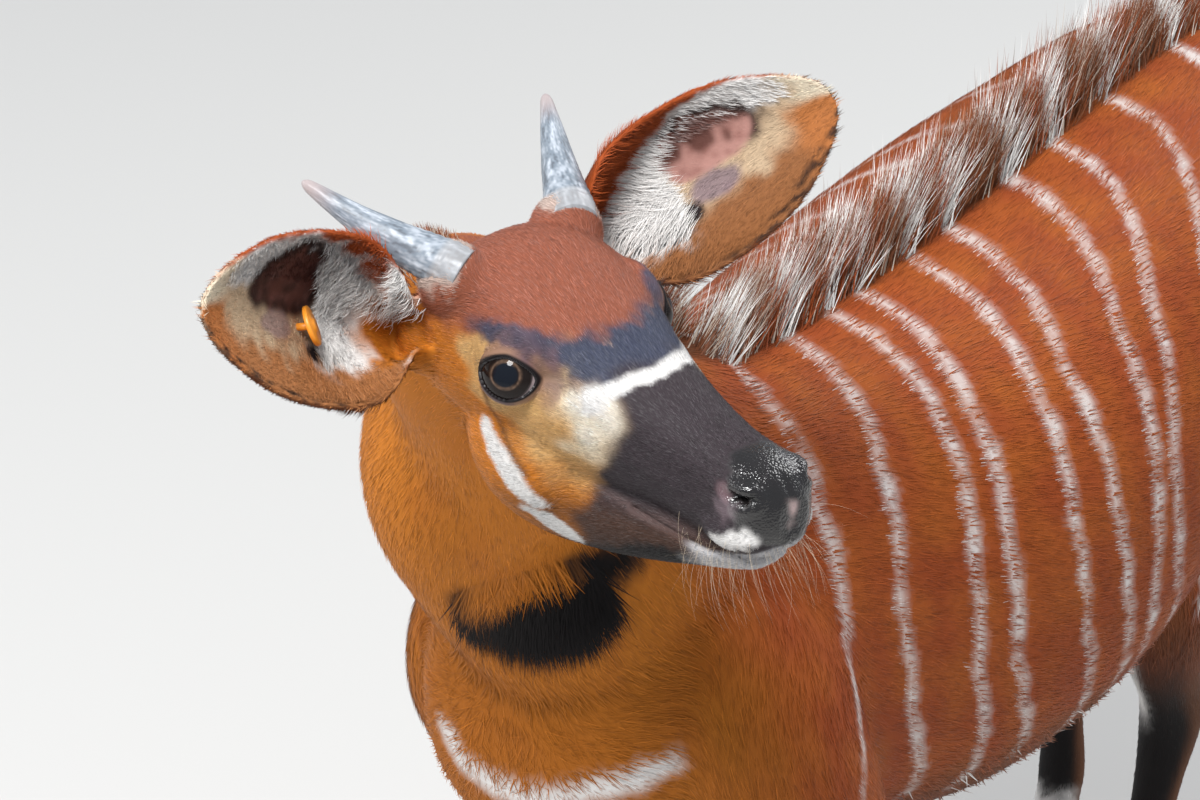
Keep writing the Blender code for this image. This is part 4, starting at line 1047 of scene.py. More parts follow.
def body_colour(at, normal):
    place = at - origin
    side, along, up = place.T
    wide = ripple(at, 0.05, 31)
    fine = ripple(at, 0.012, 32)
    rump = smooth_step(-0.19, -0.06, along)
    colour = painted(np.tile(np.array(ORANGE), (len(at), 1)), CHESTNUT, rump * 0.9 + 0.1 * wide)
    colour = painted(colour, BROWN, 0.75 * smooth_step(0.54, 0.44, up + 0.012 * wide) * (up > 0.30))
    # The lower front of the body is painted darker, a painted shade under the neck and chest.
    colour = painted(colour, (0.330, 0.095, 0.010), 0.6 * smooth_step(0.80, 0.66, up) * (1 - rump))
    spine = smooth_step(0.028, 0.006, np.abs(side) + 0.004 * fine) * (normal[:, 2] > 0.3) * rump
    colour = painted(colour, BROWN, 0.8 * spine)
    throat = np.linalg.norm((place - THROAT_PATCH) * THROAT_SHAPE, axis=1)
    colour = painted(colour, BLACK, 1 - smooth_step(0.040, 0.060, throat + 0.010 * wide))
    colour = painted(colour, BLACK, stroke(place, THROAT_BAND, 0.018 + 0.004 * fine, 0.008))
    colour = painted(colour, WHITE, stroke(place, CHEST_CRESCENT, 0.0095 + 0.002 * fine, 0.003))
    return painted(colour, WHITE, stripes(at) * smooth_step(-0.09, -0.06, along))


def leg_colour(at, normal, side, hind):
    """Chestnut outside, pale inside, with black and white bands towards the hoof."""
    place = at - origin
    fine = ripple(at, 0.012, 33)
    up = place[:, 2] + 0.006 * fine
    outward_face = normal[:, 0] * SIDES[side]
    front = -normal[:, 1]
    colour = body_colour(at, normal)
    lower = smooth_step(0.50, 0.34, up)
    colour = painted(colour, np.array(CHESTNUT) * 0.8, lower * 0.8)
    knee = 0.30 if not hind else 0.33
    colour = painted(colour, BROWN, 0.9 * smooth_step(knee + 0.12, knee + 0.02, up))
    colour = painted(colour, BLACK, smooth_step(0.0, 0.5, front) * smooth_step(knee + 0.16, knee, up))
    inside = smooth_step(0.35, 0.75, -outward_face + 0.3 * front)
    patch = smooth_step(knee - 0.02, knee + 0.02, up) * smooth_step(knee + 0.13, knee + 0.09, up)
    colour = painted(colour, WHITE, inside * patch)
    band = smooth_step(0.060, 0.068, up) * smooth_step(0.112, 0.100, up)
    colour = painted(colour, WHITE, band * smooth_step(-0.2, 0.3, front + 0.2 * fine))
    colour = painted(colour, BLACK, smooth_step(0.056, 0.048, up))
    return colour


# %% All markings
def markings(at, normal, part):
    """Colour, wetness and bareness at places on the skin of the given parts."""
    colour = body_colour(at, normal)
    wet, bare = np.zeros(len(at)), np.zeros(len(at))
    kinds = np.array(PARTS)[part]
    nearby = np.linalg.norm(at - face_middle, axis=1) < 0.20
    on_head = np.isin(kinds, ["skull", "jaw", "knob"]) | (nearby & (kinds == "neck"))
    head_colour, head_wet, head_bare = face(at[on_head], normal[on_head])
    behind_head = (at[on_head] - nape) @ behind
    share = smooth_step(0.020, -0.004, behind_head)
    colour[on_head] = painted(colour[on_head], head_colour, share)
    wet[on_head], bare[on_head] = head_wet * share, head_bare * share
    for side in SIDES:
        for limb in ("foreleg", "hindleg"):
            chosen = kinds == f"{limb}_{side}"
            colour[chosen] = leg_colour(at[chosen], normal[chosen], side, limb == "hindleg")
        chosen = kinds == f"ear_{side}"
        colour[chosen], wet[chosen], bare[chosen] = ear_colour(at[chosen], normal[chosen], side)
    lower_tail = smooth_step(0.66, 0.60, at[:, 2]) * (kinds == "tail")
    colour = painted(colour, BLACK, lower_tail)
    return np.clip(colour, 0.003, 1), wet, bare


colour, wet, bare = markings(at, normal, part)
colour = averaged(colour, 1)
print("mean colour of the skin", colour.mean(axis=0).round(3))

# %% [markdown]
# ## Materials
#
# Skin and hair read their colour from the points themselves. The skin adds fine bumps for the
# short fur that no tuft shows, and pebbles where it is wet. Hair is a little shinier than skin,
# and never quite even, so its roughness varies.

# %% Materials of skin and hair
def link(tree, source, target):
    tree.links.new(source, target)


def new_material(name):
    material = bpy.data.materials.new(name)
    material.use_nodes = True
    return material, material.node_tree, material.node_tree.nodes["Principled BSDF"]


def bumps(tree, shader, scale, strength, distance, texture="ShaderNodeTexNoise"):
    nodes = tree.nodes
    places = nodes.new("ShaderNodeTexCoord")
    grain = nodes.new(texture)
    grain.inputs["Scale"].default_value = scale
    bump = nodes.new("ShaderNodeBump")
    bump.inputs["Strength"].default_value = strength
    bump.inputs["Distance"].default_value = distance
    link(tree, places.outputs["Object"], grain.inputs["Vector"])
    link(tree, grain.outputs[0], bump.inputs["Height"])
    link(tree, bump.outputs["Normal"], shader.inputs["Normal"])
    return grain, bump


def attribute(tree, name):
    node = tree.nodes.new("ShaderNodeAttribute")
    node.attribute_name = name
    return node


def mapped(tree, source, low, high):
    """A value from 0 to 1 turned into one from low to high."""
    node = tree.nodes.new("ShaderNodeMapRange")
    node.inputs["To Min"].default_value = low
    node.inputs["To Max"].default_value = high
    link(tree, source, node.inputs["Value"])
    return node.outputs["Result"]


skin_material, node_tree, shader = new_material("short_fur_and_skin")
link(node_tree, attribute(node_tree, "coat").outputs["Color"], shader.inputs["Base Color"])
wetness = attribute(node_tree, "wet").outputs["Fac"]
link(node_tree, mapped(node_tree, wetness, 0.72, 0.16), shader.inputs["Roughness"])
link(node_tree, mapped(node_tree, wetness, 0.15, 0.75), shader.inputs["Specular IOR Level"])
_, fur_bump = bumps(node_tree, shader, 900, 0.35, 0.0006)
_, pebbles = bumps(node_tree, shader, 560, 0.0, 0.0006, "ShaderNodeTexVoronoi")
pebbles.invert = True
link(node_tree, mapped(node_tree, wetness, 0.0, 0.7), pebbles.inputs["Strength"])
link(node_tree, fur_bump.outputs["Normal"], pebbles.inputs["Normal"])
hair_material, node_tree, shader = new_material("hair")
link(node_tree, attribute(node_tree, "coat").outputs["Color"], shader.inputs["Base Color"])
grain, _ = bumps(node_tree, shader, 1400, 0.2, 0.0003)
link(node_tree, mapped(node_tree, grain.outputs[0], 0.42, 0.72), shader.inputs["Roughness"])
shader.inputs["Specular IOR Level"].default_value = 0.15


def set_field(data, name, values, kind):
    """Stores a value or a colour on each point."""
    field = data.attributes.new(name, kind, "POINT")
    if kind == "FLOAT_COLOR":
        values = np.hstack([values, np.ones((len(values), 1))])
        field.data.foreach_set("color", values.astype(np.float32).ravel())
    else:
        field.data.foreach_set("value", values.astype(np.float32))


# The skin is painted darker than the hair over it, a painted shade under the coat.
PAINTED_SHADE_UNDER_COAT = 0.86
skin.data.materials.clear()
skin.data.materials.append(skin_material)
set_field(skin.data, "coat", colour * PAINTED_SHADE_UNDER_COAT, "FLOAT_COLOR")
set_field(skin.data, "wet", wet, "FLOAT")
skin.data.shade_smooth()
print("colour and wetness on", len(at), "points, in", skin_material.name, "and", hair_material.name)

# %% [markdown]
# ## The coat
#
# Each tuft is a thin three-sided blade with a sharp tip. Hair curves would be finer, but they
# are not a surface that can be kept with the part. Roots are scattered over the skin by area,
# closer where the hair is finer; each blade leaves along the lie of the hair, with its tip just
# lifted, so that tufts overlap like real guard hair.

# %% Scattering roots
skin.data.calc_loop_triangles()
corners = np.empty(len(skin.data.loop_triangles) * 3, np.int32)
skin.data.loop_triangles.foreach_get("vertices", corners)
corners = corners.reshape(-1, 3)
legs = [PARTS.index(f"{limb}leg_{side}") for limb in ("fore", "hind") for side in SIDES]
first = corners[:, 0]
middle = at[corners].mean(axis=1)
edge_one, edge_two = at[corners[:, 1]] - at[first], at[corners[:, 2]] - at[first]
areas = np.linalg.norm(np.cross(edge_one, edge_two), axis=1) / 2
hoof_top = max(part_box(f"hoof_{end}_{side}")[1].z for end in ("fore", "hind") for side in SIDES)
hairy = (1 - bare[corners].mean(axis=1)) * (middle[:, 2] > hoof_top + 0.002)


def scatter(weight, count):
    """Roots on the skin, in numbers set by area times this weight."""
    chance = areas * weight
    count = int(count)
    picked = random.choice(len(corners), count, p=chance / chance.sum())
    a, b = random.random((2, count))
    a, b = np.where(a + b > 1, (1 - a, 1 - b), (a, b))
    mix = np.stack([1 - a - b, a, b], axis=1)[..., None]
    trio = corners[picked]
    return {
        "at": (at[trio] * mix).sum(axis=1),
        "normal": unit((normal[trio] * mix).sum(axis=1)),
        "lie": unit((lie[trio] * mix).sum(axis=1)),
        "part": part[trio[:, 0]],
        "layout": layout[trio[:, 0]],
    }


# %% [markdown]
# A blade is a stack of small triangles that ends in a point. Its normals are set close to those
# of the skin below, so that the coat is lit as one soft surface. Its tip is pushed out where
# it would dip into the skin.

# %% Blade meshes
PATCH, ROUND = 0.0015, 0.35
ROOT_DEPTH, TIP_CLEARANCE = 0.0004, 0.0012
skin_tree = kdtree.KDTree(len(at))
for index, place in enumerate(at):
    skin_tree.insert(place, index)
skin_tree.balance()
print("hair can find the nearest of", len(at), "points of the skin")


def quick_mesh(name, points, triangles, layout_at, colours, shading):
    data = bpy.data.meshes.new(name)
    count = len(triangles)
    data.vertices.add(len(points))
    data.vertices.foreach_set("co", points.astype(np.float32).ravel())
    data.loops.add(count * 3)
    data.loops.foreach_set("vertex_index", triangles.astype(np.int32).ravel())
    data.polygons.add(count)
    data.polygons.foreach_set("loop_start", np.arange(count, dtype=np.int32) * 3)
    data.update(calc_edges=True)
    flat_map = data.uv_layers.new(name="OFBake")
    flat_map.data.foreach_set("uv", layout_at[triangles.ravel()].astype(np.float32).ravel())
    set_field(data, "coat", colours, "FLOAT_COLOR")
    data.materials.append(hair_material)
    data.shade_smooth()
    data.normals_split_custom_set_from_vertices(shading)
    made = bpy.data.objects.new(name, data)
    bpy.context.scene.collection.objects.link(made)
    return made


def clear_of_skin(tips, least):
    """How far each tip must be pushed out, and which way, to stand this high over the skin."""
    found = np.array([skin_tree.find(tip)[1] for tip in tips])
    over = np.einsum("ij,ij->i", tips - at[found], normal[found])
    return normal[found] * np.clip(least - over, 0, 0.012)[:, None]


# %% Growing blades
coat = []


def blades(name, roots, length, width, rise, colours, bend=0.0, joints=1, direction=None, tips=None,
           catch=(0, 0, 0)):
    """Closed three-sided blades; bend turns them from their first direction down to the lie.
    Their colour runs from the root's to the tips', where those are given."""
    root_at, root_normal = roots["at"], roots["normal"]
    root_lie = unit(roots["lie"] - root_normal * np.einsum("ij,ij->i", roots["lie"], root_normal)[:, None])
    rise = np.broadcast_to(rise, len(root_at))[:, None]
    start = root_lie * np.cos(rise) + root_normal * np.sin(rise) if direction is None else unit(direction)
    over = unit(root_normal + 1e-3)
    side = unit(np.cross(over, start))
    over = np.cross(start, side)
    length = np.broadcast_to(length, len(root_at))[:, None]
    width = np.broadcast_to(width, len(root_at))[:, None]
    reached = root_at + start * length * (1 - bend / 2) + root_lie * length * bend / 2
    lift = clear_of_skin(reached, TIP_CLEARANCE)
    faced = unit(root_normal + catch)
    points, shades, spread, shading = [], [], [], []
    for step in range(joints + 1):
        t = step / joints
        wide = (1 - t) ** 0.6 * (0.75 + 0.25 * math.sin(math.pi * min(1, t * 1.5 + 0.3)))
        centre = (root_at - root_normal * ROOT_DEPTH + start * length * (t - bend * t * t / 2)
                  + root_lie * length * bend * t * t / 2)
        centre = centre + lift * t * (2 - t)
        # Each blade is darker at its root and lighter at its tip: painted shade deep in the coat.
        painted_shade = 0.80 + 0.28 * t
        if step == joints:
            points.append(centre[:, None])
            shading.append(faced[:, None])
            shades.append(np.full((1,), painted_shade))
            spread.append([(0, PATCH)])
            break
        offsets = (side * width / 2 * wide, -side * width / 2 * wide, -over * width * 0.3 * wide)
        points.append(np.stack([centre + o for o in offsets], axis=1))
        shading.append(np.stack([unit(faced + ROUND * side), unit(faced - ROUND * side), faced], axis=1))
        shades.append(np.full((3,), painted_shade))
        spread.append([(-PATCH, -PATCH * (1 - t)), (PATCH, -PATCH * (1 - t)), (0, -PATCH)])
    points = np.concatenate(points, axis=1)
    per = points.shape[1]
    faces = [(0, 2, 1)]
    for step in range(joints - 1):
        s, e = step * 3, step * 3 + 3
        for i, j in ((0, 1), (1, 2), (2, 0)):
            faces += [(s + i, s + j, e + j), (s + i, e + j, e + i)]
    s, tip = (joints - 1) * 3, per - 1
    faces += [(s, s + 1, tip), (s + 1, s + 2, tip), (s + 2, s, tip)]
    triangles = (np.array(faces)[None] + np.arange(len(root_at))[:, None, None] * per).reshape(-1, 3)
    vary = random.normal(1.0, 0.12, (len(root_at), 1, 1)).clip(0.7, 1.35)
    tipward = np.repeat(np.arange(joints + 1) / joints, [3] * joints + [1])[None, :, None]
    tips = colours if tips is None else tips
    colours = colours[:, None] * (1 - tipward) + tips[:, None] * tipward
    colours = colours * np.concatenate(shades)[None, :, None] * vary
    spread = np.concatenate([np.array(corner_places, float) for corner_places in spread])
    layout_at = roots["layout"][:, None] + spread[None]
    shading = np.concatenate(shading, axis=1).reshape(-1, 3)
    made = quick_mesh(name, points.reshape(-1, 3), triangles, layout_at.reshape(-1, 2),
                      colours.reshape(-1, 3).clip(0, 1), shading)
    coat.append(made)
    return made


# %% [markdown]
# The short coat grows in several pieces, finest on the face and longest on the trunk. One piece
# for all would be simpler, but smaller ones are easier to keep and to swap.

# %% Short coat
FACE_TUFTS, EAR_TUFTS, BODY_TUFTS, LEG_TUFTS = 44000, 26000, 134000, 14000


def cells(names):
    return [PARTS.index(name) for name in names]


head_part = np.isin(part, cells(["skull", "jaw", "knob"]))[first]
ear_part = is_ear[first]
leg_part = np.isin(part, legs)[first] & (middle[:, 2] < 0.42)
body_part = ~(head_part | ear_part | leg_part)


def grown(name, weight, count, length, width, rise, uneven=0.05, glint=0.0):
    """Short hair on the faces with some weight; its length and width may vary with the place.
    A tuft that would reach into another marking is cut shorter, so that each edge stays clear."""
    roots = scatter(weight * hairy, count)
    colours, _, _ = markings(roots["at"], roots["normal"], roots["part"])
    tone = random.normal(1.0, uneven, (len(colours), 1)).clip(0.6, 1.5)
    # A few tips are lightened at random: gleam is a painted glint on the hair.
    gleam = glint * random.random((len(colours), 1)) ** 3
    jitter = random.normal(0, 0.12, (len(colours), 3))
    roots["lie"] = unit(roots["lie"] + jitter)
    reach = length(roots) * random.normal(1.0, 0.15, len(colours)).clip(0.6, 1.4)
    ends = roots["at"] + roots["lie"] * 0.75 * np.reshape(reach, (-1, 1))
    tips, _, _ = markings(ends, roots["normal"], roots["part"])
    on_edge = smooth_step(0.06, 0.35, np.abs(tips - colours).max(axis=1))
    reach = reach * (1 - 0.5 * on_edge)
    made = blades(name, roots, reach, width(roots), rise, colours * tone, tips=tips * tone + gleam)
    print(name, "of", int(count), "tufts,", len(made.data.polygons), "triangles")


def muzzle_fade(roots):
    """0 on the muzzle and round the eyes, 1 on the forehead and the cheek."""
    place = mirrored_head(roots["at"])
    near_eye = smooth_step(0.024, 0.045, np.linalg.norm(place - eye_place["left"], axis=1))
    return near_eye * smooth_step(0.13, 0.00, place[:, 0])


def body_length(roots):
    return 0.0105 + 0.0060 * smooth_step(0.15, 0.35, np.linalg.norm(roots["at"] - face_middle, axis=1))


def leg_length(roots):
    return 0.0055 + 0.0075 * smooth_step(0.15, 0.45, roots["at"][:, 2])


# %% Grow the short coat
muzzle = to_head(middle)[:, 0] > 0.025
for name, share in (("coat_face", head_part * ~muzzle), ("coat_muzzle", head_part * muzzle)):
    grown(name, share, FACE_TUFTS, lambda r: 0.0034 + 0.0030 * muzzle_fade(r),
          lambda r: 0.00050 + 0.00020 * muzzle_fade(r), 0.16, 0.20, 0.09)
grown("coat_ears", ear_part, EAR_TUFTS, lambda r: 0.0075, lambda r: 0.0007, 0.16, 0.12)
split = origin[1] + 0.05
for name, share in (
    ("coat_neck", body_part * (middle[:, 1] < split)),
    ("coat_flank_left", body_part * (middle[:, 1] >= split) * (middle[:, 0] >= origin[0])),
    ("coat_flank_right", body_part * (middle[:, 1] >= split) * (middle[:, 0] < origin[0])),
):
    count = BODY_TUFTS * (areas * share).sum() / (areas * body_part).sum()
    grown(name, share, count, body_length, lambda r: 0.0012, 0.10)
grown("coat_legs", leg_part, LEG_TUFTS, leg_length, lambda r: 0.0010, 0.12)

# %% [markdown]
# ## Long hair
#
# The mane stands along the neck and back and leans to the tail; it is white where a stripe
# crosses it and dark between. The throat has a black ruff, the ears are filled with long white
# hair, their edges carry a fringe, and the tail ends in a black tuft. All are longer blades
# with more joints, so that they can bend.

# %% Mane
MANE_HAIRS, MANE_LENGTH, MANE_STRIP = 17500, 0.068, 0.017


def crest_line():
    """The line of the nape and the back, on the skin, from the poll to the rump."""
    rows = smooth_rows([(*place, *sizes) for place, *sizes in NECK], 8)[::-1]
    line = []
    for row, tangent in zip(rows, np.gradient(rows[:, :3], axis=0)):
        ahead = np.array(Matrix.Rotation(math.radians(row[6]), 3, "Z") @ Vector(FRONT))
        side = unit(np.cross(tangent, ahead))
        back = np.cross(side, unit(tangent))
        back = back if back @ ahead < 0 else -back
        line.append(row[:3] + back * row[5])
    line = [p for p in line if p[2] > 0.88]
    line += [(0, y, height + above) for y, height, _, above, _ in smooth_rows(TRUNK, 4)[14:47]]
    return np.array(line) + origin


crest = smooth_rows(crest_line()[::3], 4)
crest_steps = np.r_[0, np.cumsum(np.linalg.norm(np.diff(crest, axis=0), axis=1))]
print("crest of", crest_steps[-1].round(3), "m")


def along_crest(points):
    """How far along the crest each point is, and how far away from it."""
    best, where = np.full(len(points), np.inf), np.zeros(len(points))
    for index, (start, end) in enumerate(zip(crest, crest[1:])):
        run = end - start
        t = np.clip((points - start) @ run / (run @ run), 0, 1)
        gap = np.linalg.norm(points - start - t[:, None] * run, axis=1)
        nearer = gap < best
        best = np.where(nearer, gap, best)
        where = np.where(nearer, crest_steps[index] + t * np.sqrt(run @ run), where)
    return where, best


crest_at, crest_gap = along_crest(middle)
mane_weight = body_part * smooth_step(MANE_STRIP * 1.5, MANE_STRIP * 0.4, crest_gap)
mane_weight = mane_weight * (crest_at > 0.012)
roots = scatter(mane_weight, MANE_HAIRS)
where, gap = along_crest(roots["at"])
clump = np.stack([ripple(roots["at"], 0.022, seed) for seed in (51, 53, 54)], axis=1)
nape_share = smooth_step(0.04, -0.14, roots["at"][:, 1] - origin[1])
fade = (1 - 0.80 * nape_share) * (0.45 + 0.55 * smooth_step(crest_steps[-1], crest_steps[-1] - 0.3, where))
length = MANE_LENGTH * fade * (1 - 0.45 * smooth_step(0.3, 1.4, gap / MANE_STRIP))
length = length * random.normal(1.0, 0.20, len(length)).clip(0.5, 1.4)
ahead_of = np.stack([np.interp(where + 0.01, crest_steps, crest[:, i]) for i in range(3)], axis=1)
behind_of = np.stack([np.interp(where, crest_steps, crest[:, i]) for i in range(3)], axis=1)
roots["lie"] = unit(unit(ahead_of - behind_of) + random.normal(0, 0.10, (len(where), 3)))
upward = unit(roots["normal"] * (0.6, 1, 1) + (0, 0, 0.35))
lean = upward + roots["lie"] * 0.34 + random.normal(0, 0.13, (len(where), 3)) + clump * 0.16
white_share = np.max([stripes(roots["at"] + (0, step, 0)) for step in (-0.004, 0.0, 0.004)], axis=0)
locks = ripple(roots["at"] * (0.3, 1, 1), 0.026, 52)
mix = smooth_step(-0.2, 1.1, locks + random.normal(0, 0.6, len(where)))
on_neck = smooth_step(0.16, 0.02, roots["at"][:, 1] - origin[1])
colours = painted(np.tile(np.array(BROWN) * 1.2, (len(where), 1)), CHESTNUT, 0.25 + 0.65 * mix)
colours = painted(colours, (0.52, 0.43, 0.35), 0.85 * (random.random(len(where)) < 0.16 + 0.22 * on_neck))
colours = painted(colours, WHITE, white_share)
dark_tipped = 0.55 * (random.random(len(where)) < 0.4) * (1 - white_share)
mane_tips = painted(colours, (0.060, 0.035, 0.025), dark_tipped)
blades("mane", roots, length, 0.0012, 0.9, colours, bend=0.28, joints=2, direction=lean, tips=mane_tips)

# %% [markdown]
# Softer hair hangs under the throat and along the belly. It is grown like the mane, but bent
# down by a pull that is added to its lie.

# %% Ruff of the throat and hair of the belly
throat_gap = np.linalg.norm((middle - origin - THROAT_PATCH) * THROAT_SHAPE, axis=1)
for name, weight, count, hair_length, rise in (
    ("throat_ruff", body_part * (throat_gap < 0.056), 5000, 0.030, 0.35),
    ("belly_hair", body_part * (middle[:, 2] < 0.50), 4000, 0.022, 0.25),
):
    roots = scatter(weight, count)
    colours, _, _ = markings(roots["at"], roots["normal"], roots["part"])
    roots["lie"] = unit(roots["lie"] + (0, 0, -0.5) + random.normal(0, 0.25, roots["at"].shape))
    longer = random.normal(1.0, 0.2, count).clip(0.5, 1.5)
    blades(name, roots, hair_length * longer, 0.0016, rise, colours, bend=0.5, joints=2)

# %% [markdown]
# Three kinds of hair fill an ear: long white locks at its foot and upper edge, a short fringe
# along the rim, and a thin lining round the bare pit. One loop grows all three on both ears.

# %% Hair of the ears
CATCH_LIGHT = np.array((0.3, -0.5, 0.9))
for side in SIDES:
    mine = ear_part * (part[first] == PARTS.index(f"ear_{side}"))
    reach, edge, root, along, opens = ear_place(middle, side)
    axis = root + np.outer(reach * EAR_LENGTH, along) + opens * 0.030
    inner = np.einsum("ij,ij->i", normal[first], unit(axis - middle)) > 0.2
    mark = EAR_MARKS[side]
    top = np.interp(reach, *mark["top"])
    mass = (reach < mark["mass"]) * (reach > 0.22) * (edge > -0.6) * (edge < top) * 2.5
    band = (reach < 0.88) * (edge > 0.52) * (edge < top)
    (pit_u, pit_v), (pit_long, pit_wide) = mark["pit"]
    outside_pit = np.hypot((reach - pit_u) / pit_long, (edge - pit_v) / pit_wide) > 1.0
    for name, weight, count, hair_length in (
        (f"ear_hair_{side}", mine * inner * (mass + band), 3000, mark["hair"]),
        (f"ear_fringe_{side}", mine * (np.abs(edge) > 0.86) * (reach > 0.3), 1500, 0.011),
        (f"ear_lining_{side}", mine * inner * (reach > 0.2) * outside_pit, 2600, 0.011),
    ):
        roots = scatter(weight, count)
        colours, _, _ = markings(roots["at"], roots["normal"], roots["part"])
        there, edge_there, _, _, _ = ear_place(roots["at"], side)
        if name.startswith("ear_hair"):
            colours = painted(colours, WHITE, 0.9 * smooth_step(0.06, 0.24, colours.mean(axis=1)))
        across_in = -np.sign(edge_there)[:, None] * np.cross(along, opens) * -SIDES[side]
        fan = roots["normal"] * 0.40 + along * 0.55 + across_in * 0.45
        if name.startswith("ear_fringe"):
            fan = roots["normal"] * 0.2 + along * 0.6 - across_in * 0.6
        fan = unit(fan) + random.normal(0, 0.14, (count, 3))
        longer = random.normal(1.0, 0.22, count).clip(0.4, 1.5)
        longer = longer * (1 - 0.72 * smooth_step(0.34, 0.55, there))
        roots["lie"] = unit(along + random.normal(0, 0.2, (count, 3)))
        blades(name, roots, hair_length * longer, 0.0008, 0.5, colours, bend=0.6, joints=2, direction=fan,
               catch=CATCH_LIGHT)

# %% [markdown]
# The tail ends in a black tuft that hangs straight down, to whisk flies away.

# %% Tail tuft
TUFT_HAIRS, TUFT_LENGTH = 2200, 0.110
tuft = scatter((part[first] == PARTS.index("tail")) * (middle[:, 2] < 0.63), TUFT_HAIRS)
down = np.array((0.0, 0.0, -1.0))
tuft["lie"] = unit(down + random.normal(0, 0.06, (TUFT_HAIRS, 3)))
spread_out = tuft["normal"] * 0.28 + down + random.normal(0, 0.08, (TUFT_HAIRS, 3))
longer = random.normal(1.0, 0.15, TUFT_HAIRS).clip(0.6, 1.25)
tuft_colours = np.tile(np.array(BLACK) * 1.6, (TUFT_HAIRS, 1))
blades("tail_tuft", tuft, TUFT_LENGTH * longer, 0.0020, 0.2, tuft_colours,
       bend=0.4, joints=3, direction=spread_out)
print(len(coat), "coat pieces,", sum(len(o.data.polygons) for o in coat), "triangles")

# %% [markdown]
# ## Eyes
#
# The eye of an antelope is large and dark, with a brown iris round a wide pupil that lies
# across. A clear shell over a painted ball would look alike, but one ball whose rings are
# painted by their angle from the middle, under a clear varnish, is enough at this size.

# %% Closed shells
def shell(name, rings, material):
    """A closed surface from rings of points."""
    rings = np.asarray(rings)
    count, sides, _ = rings.shape
    points = rings.reshape(-1, 3).tolist()
    faces = []
    for row in range(count - 1):
        faces += ring_quads(row * sides, (row + 1) * sides, sides)
    for ring, start in ((rings[0], 0), (rings[-1], (count - 1) * sides)):
        points.append(ring.mean(axis=0).tolist())
        faces += [(start + i, start + (i + 1) % sides, len(points) - 1) for i in range(sides)]
    data = bpy.data.meshes.new(name)
    data.from_pydata(points, [], faces)
    made = bpy.data.objects.new(name, data)
    bpy.context.scene.collection.objects.link(made)
    outward(made)
    data.shade_smooth()
    data.materials.append(material)
    return made


# %% Eyes
PUPIL_WIDE, PUPIL_HIGH, WHITE_ANGLE = 0.44, 0.41, 0.84
GAZE = (0.505, 0.79, 0.355)
eye_material, node_tree, shader = new_material("eye")
link(node_tree, attribute(node_tree, "coat").outputs["Color"], shader.inputs["Base Color"])
shader.inputs["Roughness"].default_value = 0.05
shader.inputs["Specular IOR Level"].default_value = 0.17
for side, sign in SIDES.items():
    gaze = unit(np.array(GAZE))
    polar = np.linspace(0.01, math.pi - 0.01, 56)
    turns = np.arange(80) * 2 * math.pi / 80
    flat_x = unit(np.cross((0, 0, 1), gaze))
    upright = np.cross(gaze, flat_x)
    ring = (np.cos(polar)[:, None, None] * gaze
            + (np.sin(polar)[:, None] * np.cos(turns))[..., None] * flat_x
            + (np.sin(polar)[:, None] * np.sin(turns))[..., None] * upright)
    ball_rings = from_head((eye_place["left"] + ring * eye_radius) * (1, sign, 1))
    ball = shell(f"eyeball_{side}", ball_rings, eye_material)
    looks = mirrored_head(read_points(ball.data)) - eye_place["left"]
    looks = unit(looks)
    level_angle = np.arctan2(looks @ flat_x, looks @ gaze)
    upright_angle = np.arctan2(looks @ upright, np.hypot(looks @ flat_x, looks @ gaze))
    angle = np.arccos(np.clip(looks @ gaze, -1, 1))
    pupil = np.hypot(level_angle / PUPIL_WIDE, upright_angle / PUPIL_HIGH)
    streaks = ripple(looks * 0.02, 0.003, 71)
    paint = np.tile(np.array((0.012, 0.008, 0.007)), (len(looks), 1))
    white_eye = smooth_step(WHITE_ANGLE, WHITE_ANGLE + 0.10, angle) * smooth_step(0.45, 0.65, looks[:, 0])
    paint = painted(paint, (0.460, 0.360, 0.360), 0.8 * white_eye)
    ring_share = smooth_step(0.94, 1.02, pupil) * (1 - smooth_step(1.06, 1.26, pupil))
    paint = painted(paint, (0.150, 0.092, 0.062), ring_share * (0.75 + 0.25 * streaks))
    # The pupil is near black with a faint blue, a painted reflection of the sky.
    paint = painted(paint, (0.007, 0.009, 0.014), 1 - smooth_step(0.86, 0.98, pupil))
    set_field(ball.data, "coat", paint, "FLOAT_COLOR")
    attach(ball, "root")
    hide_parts(f"eye_{side}")
print("eyes of", round(eye_radius * 2000, 1), "mm")

# %% [markdown]
# ## Horns, hooves and tag
#
# The young horns are short straight spikes of grey horn, streaked along their length, with
# fine growth rings near the foot and a pale, worn tip. A cone with an image on it could do, but
# rings of points take the lumps and the streaks in one go.

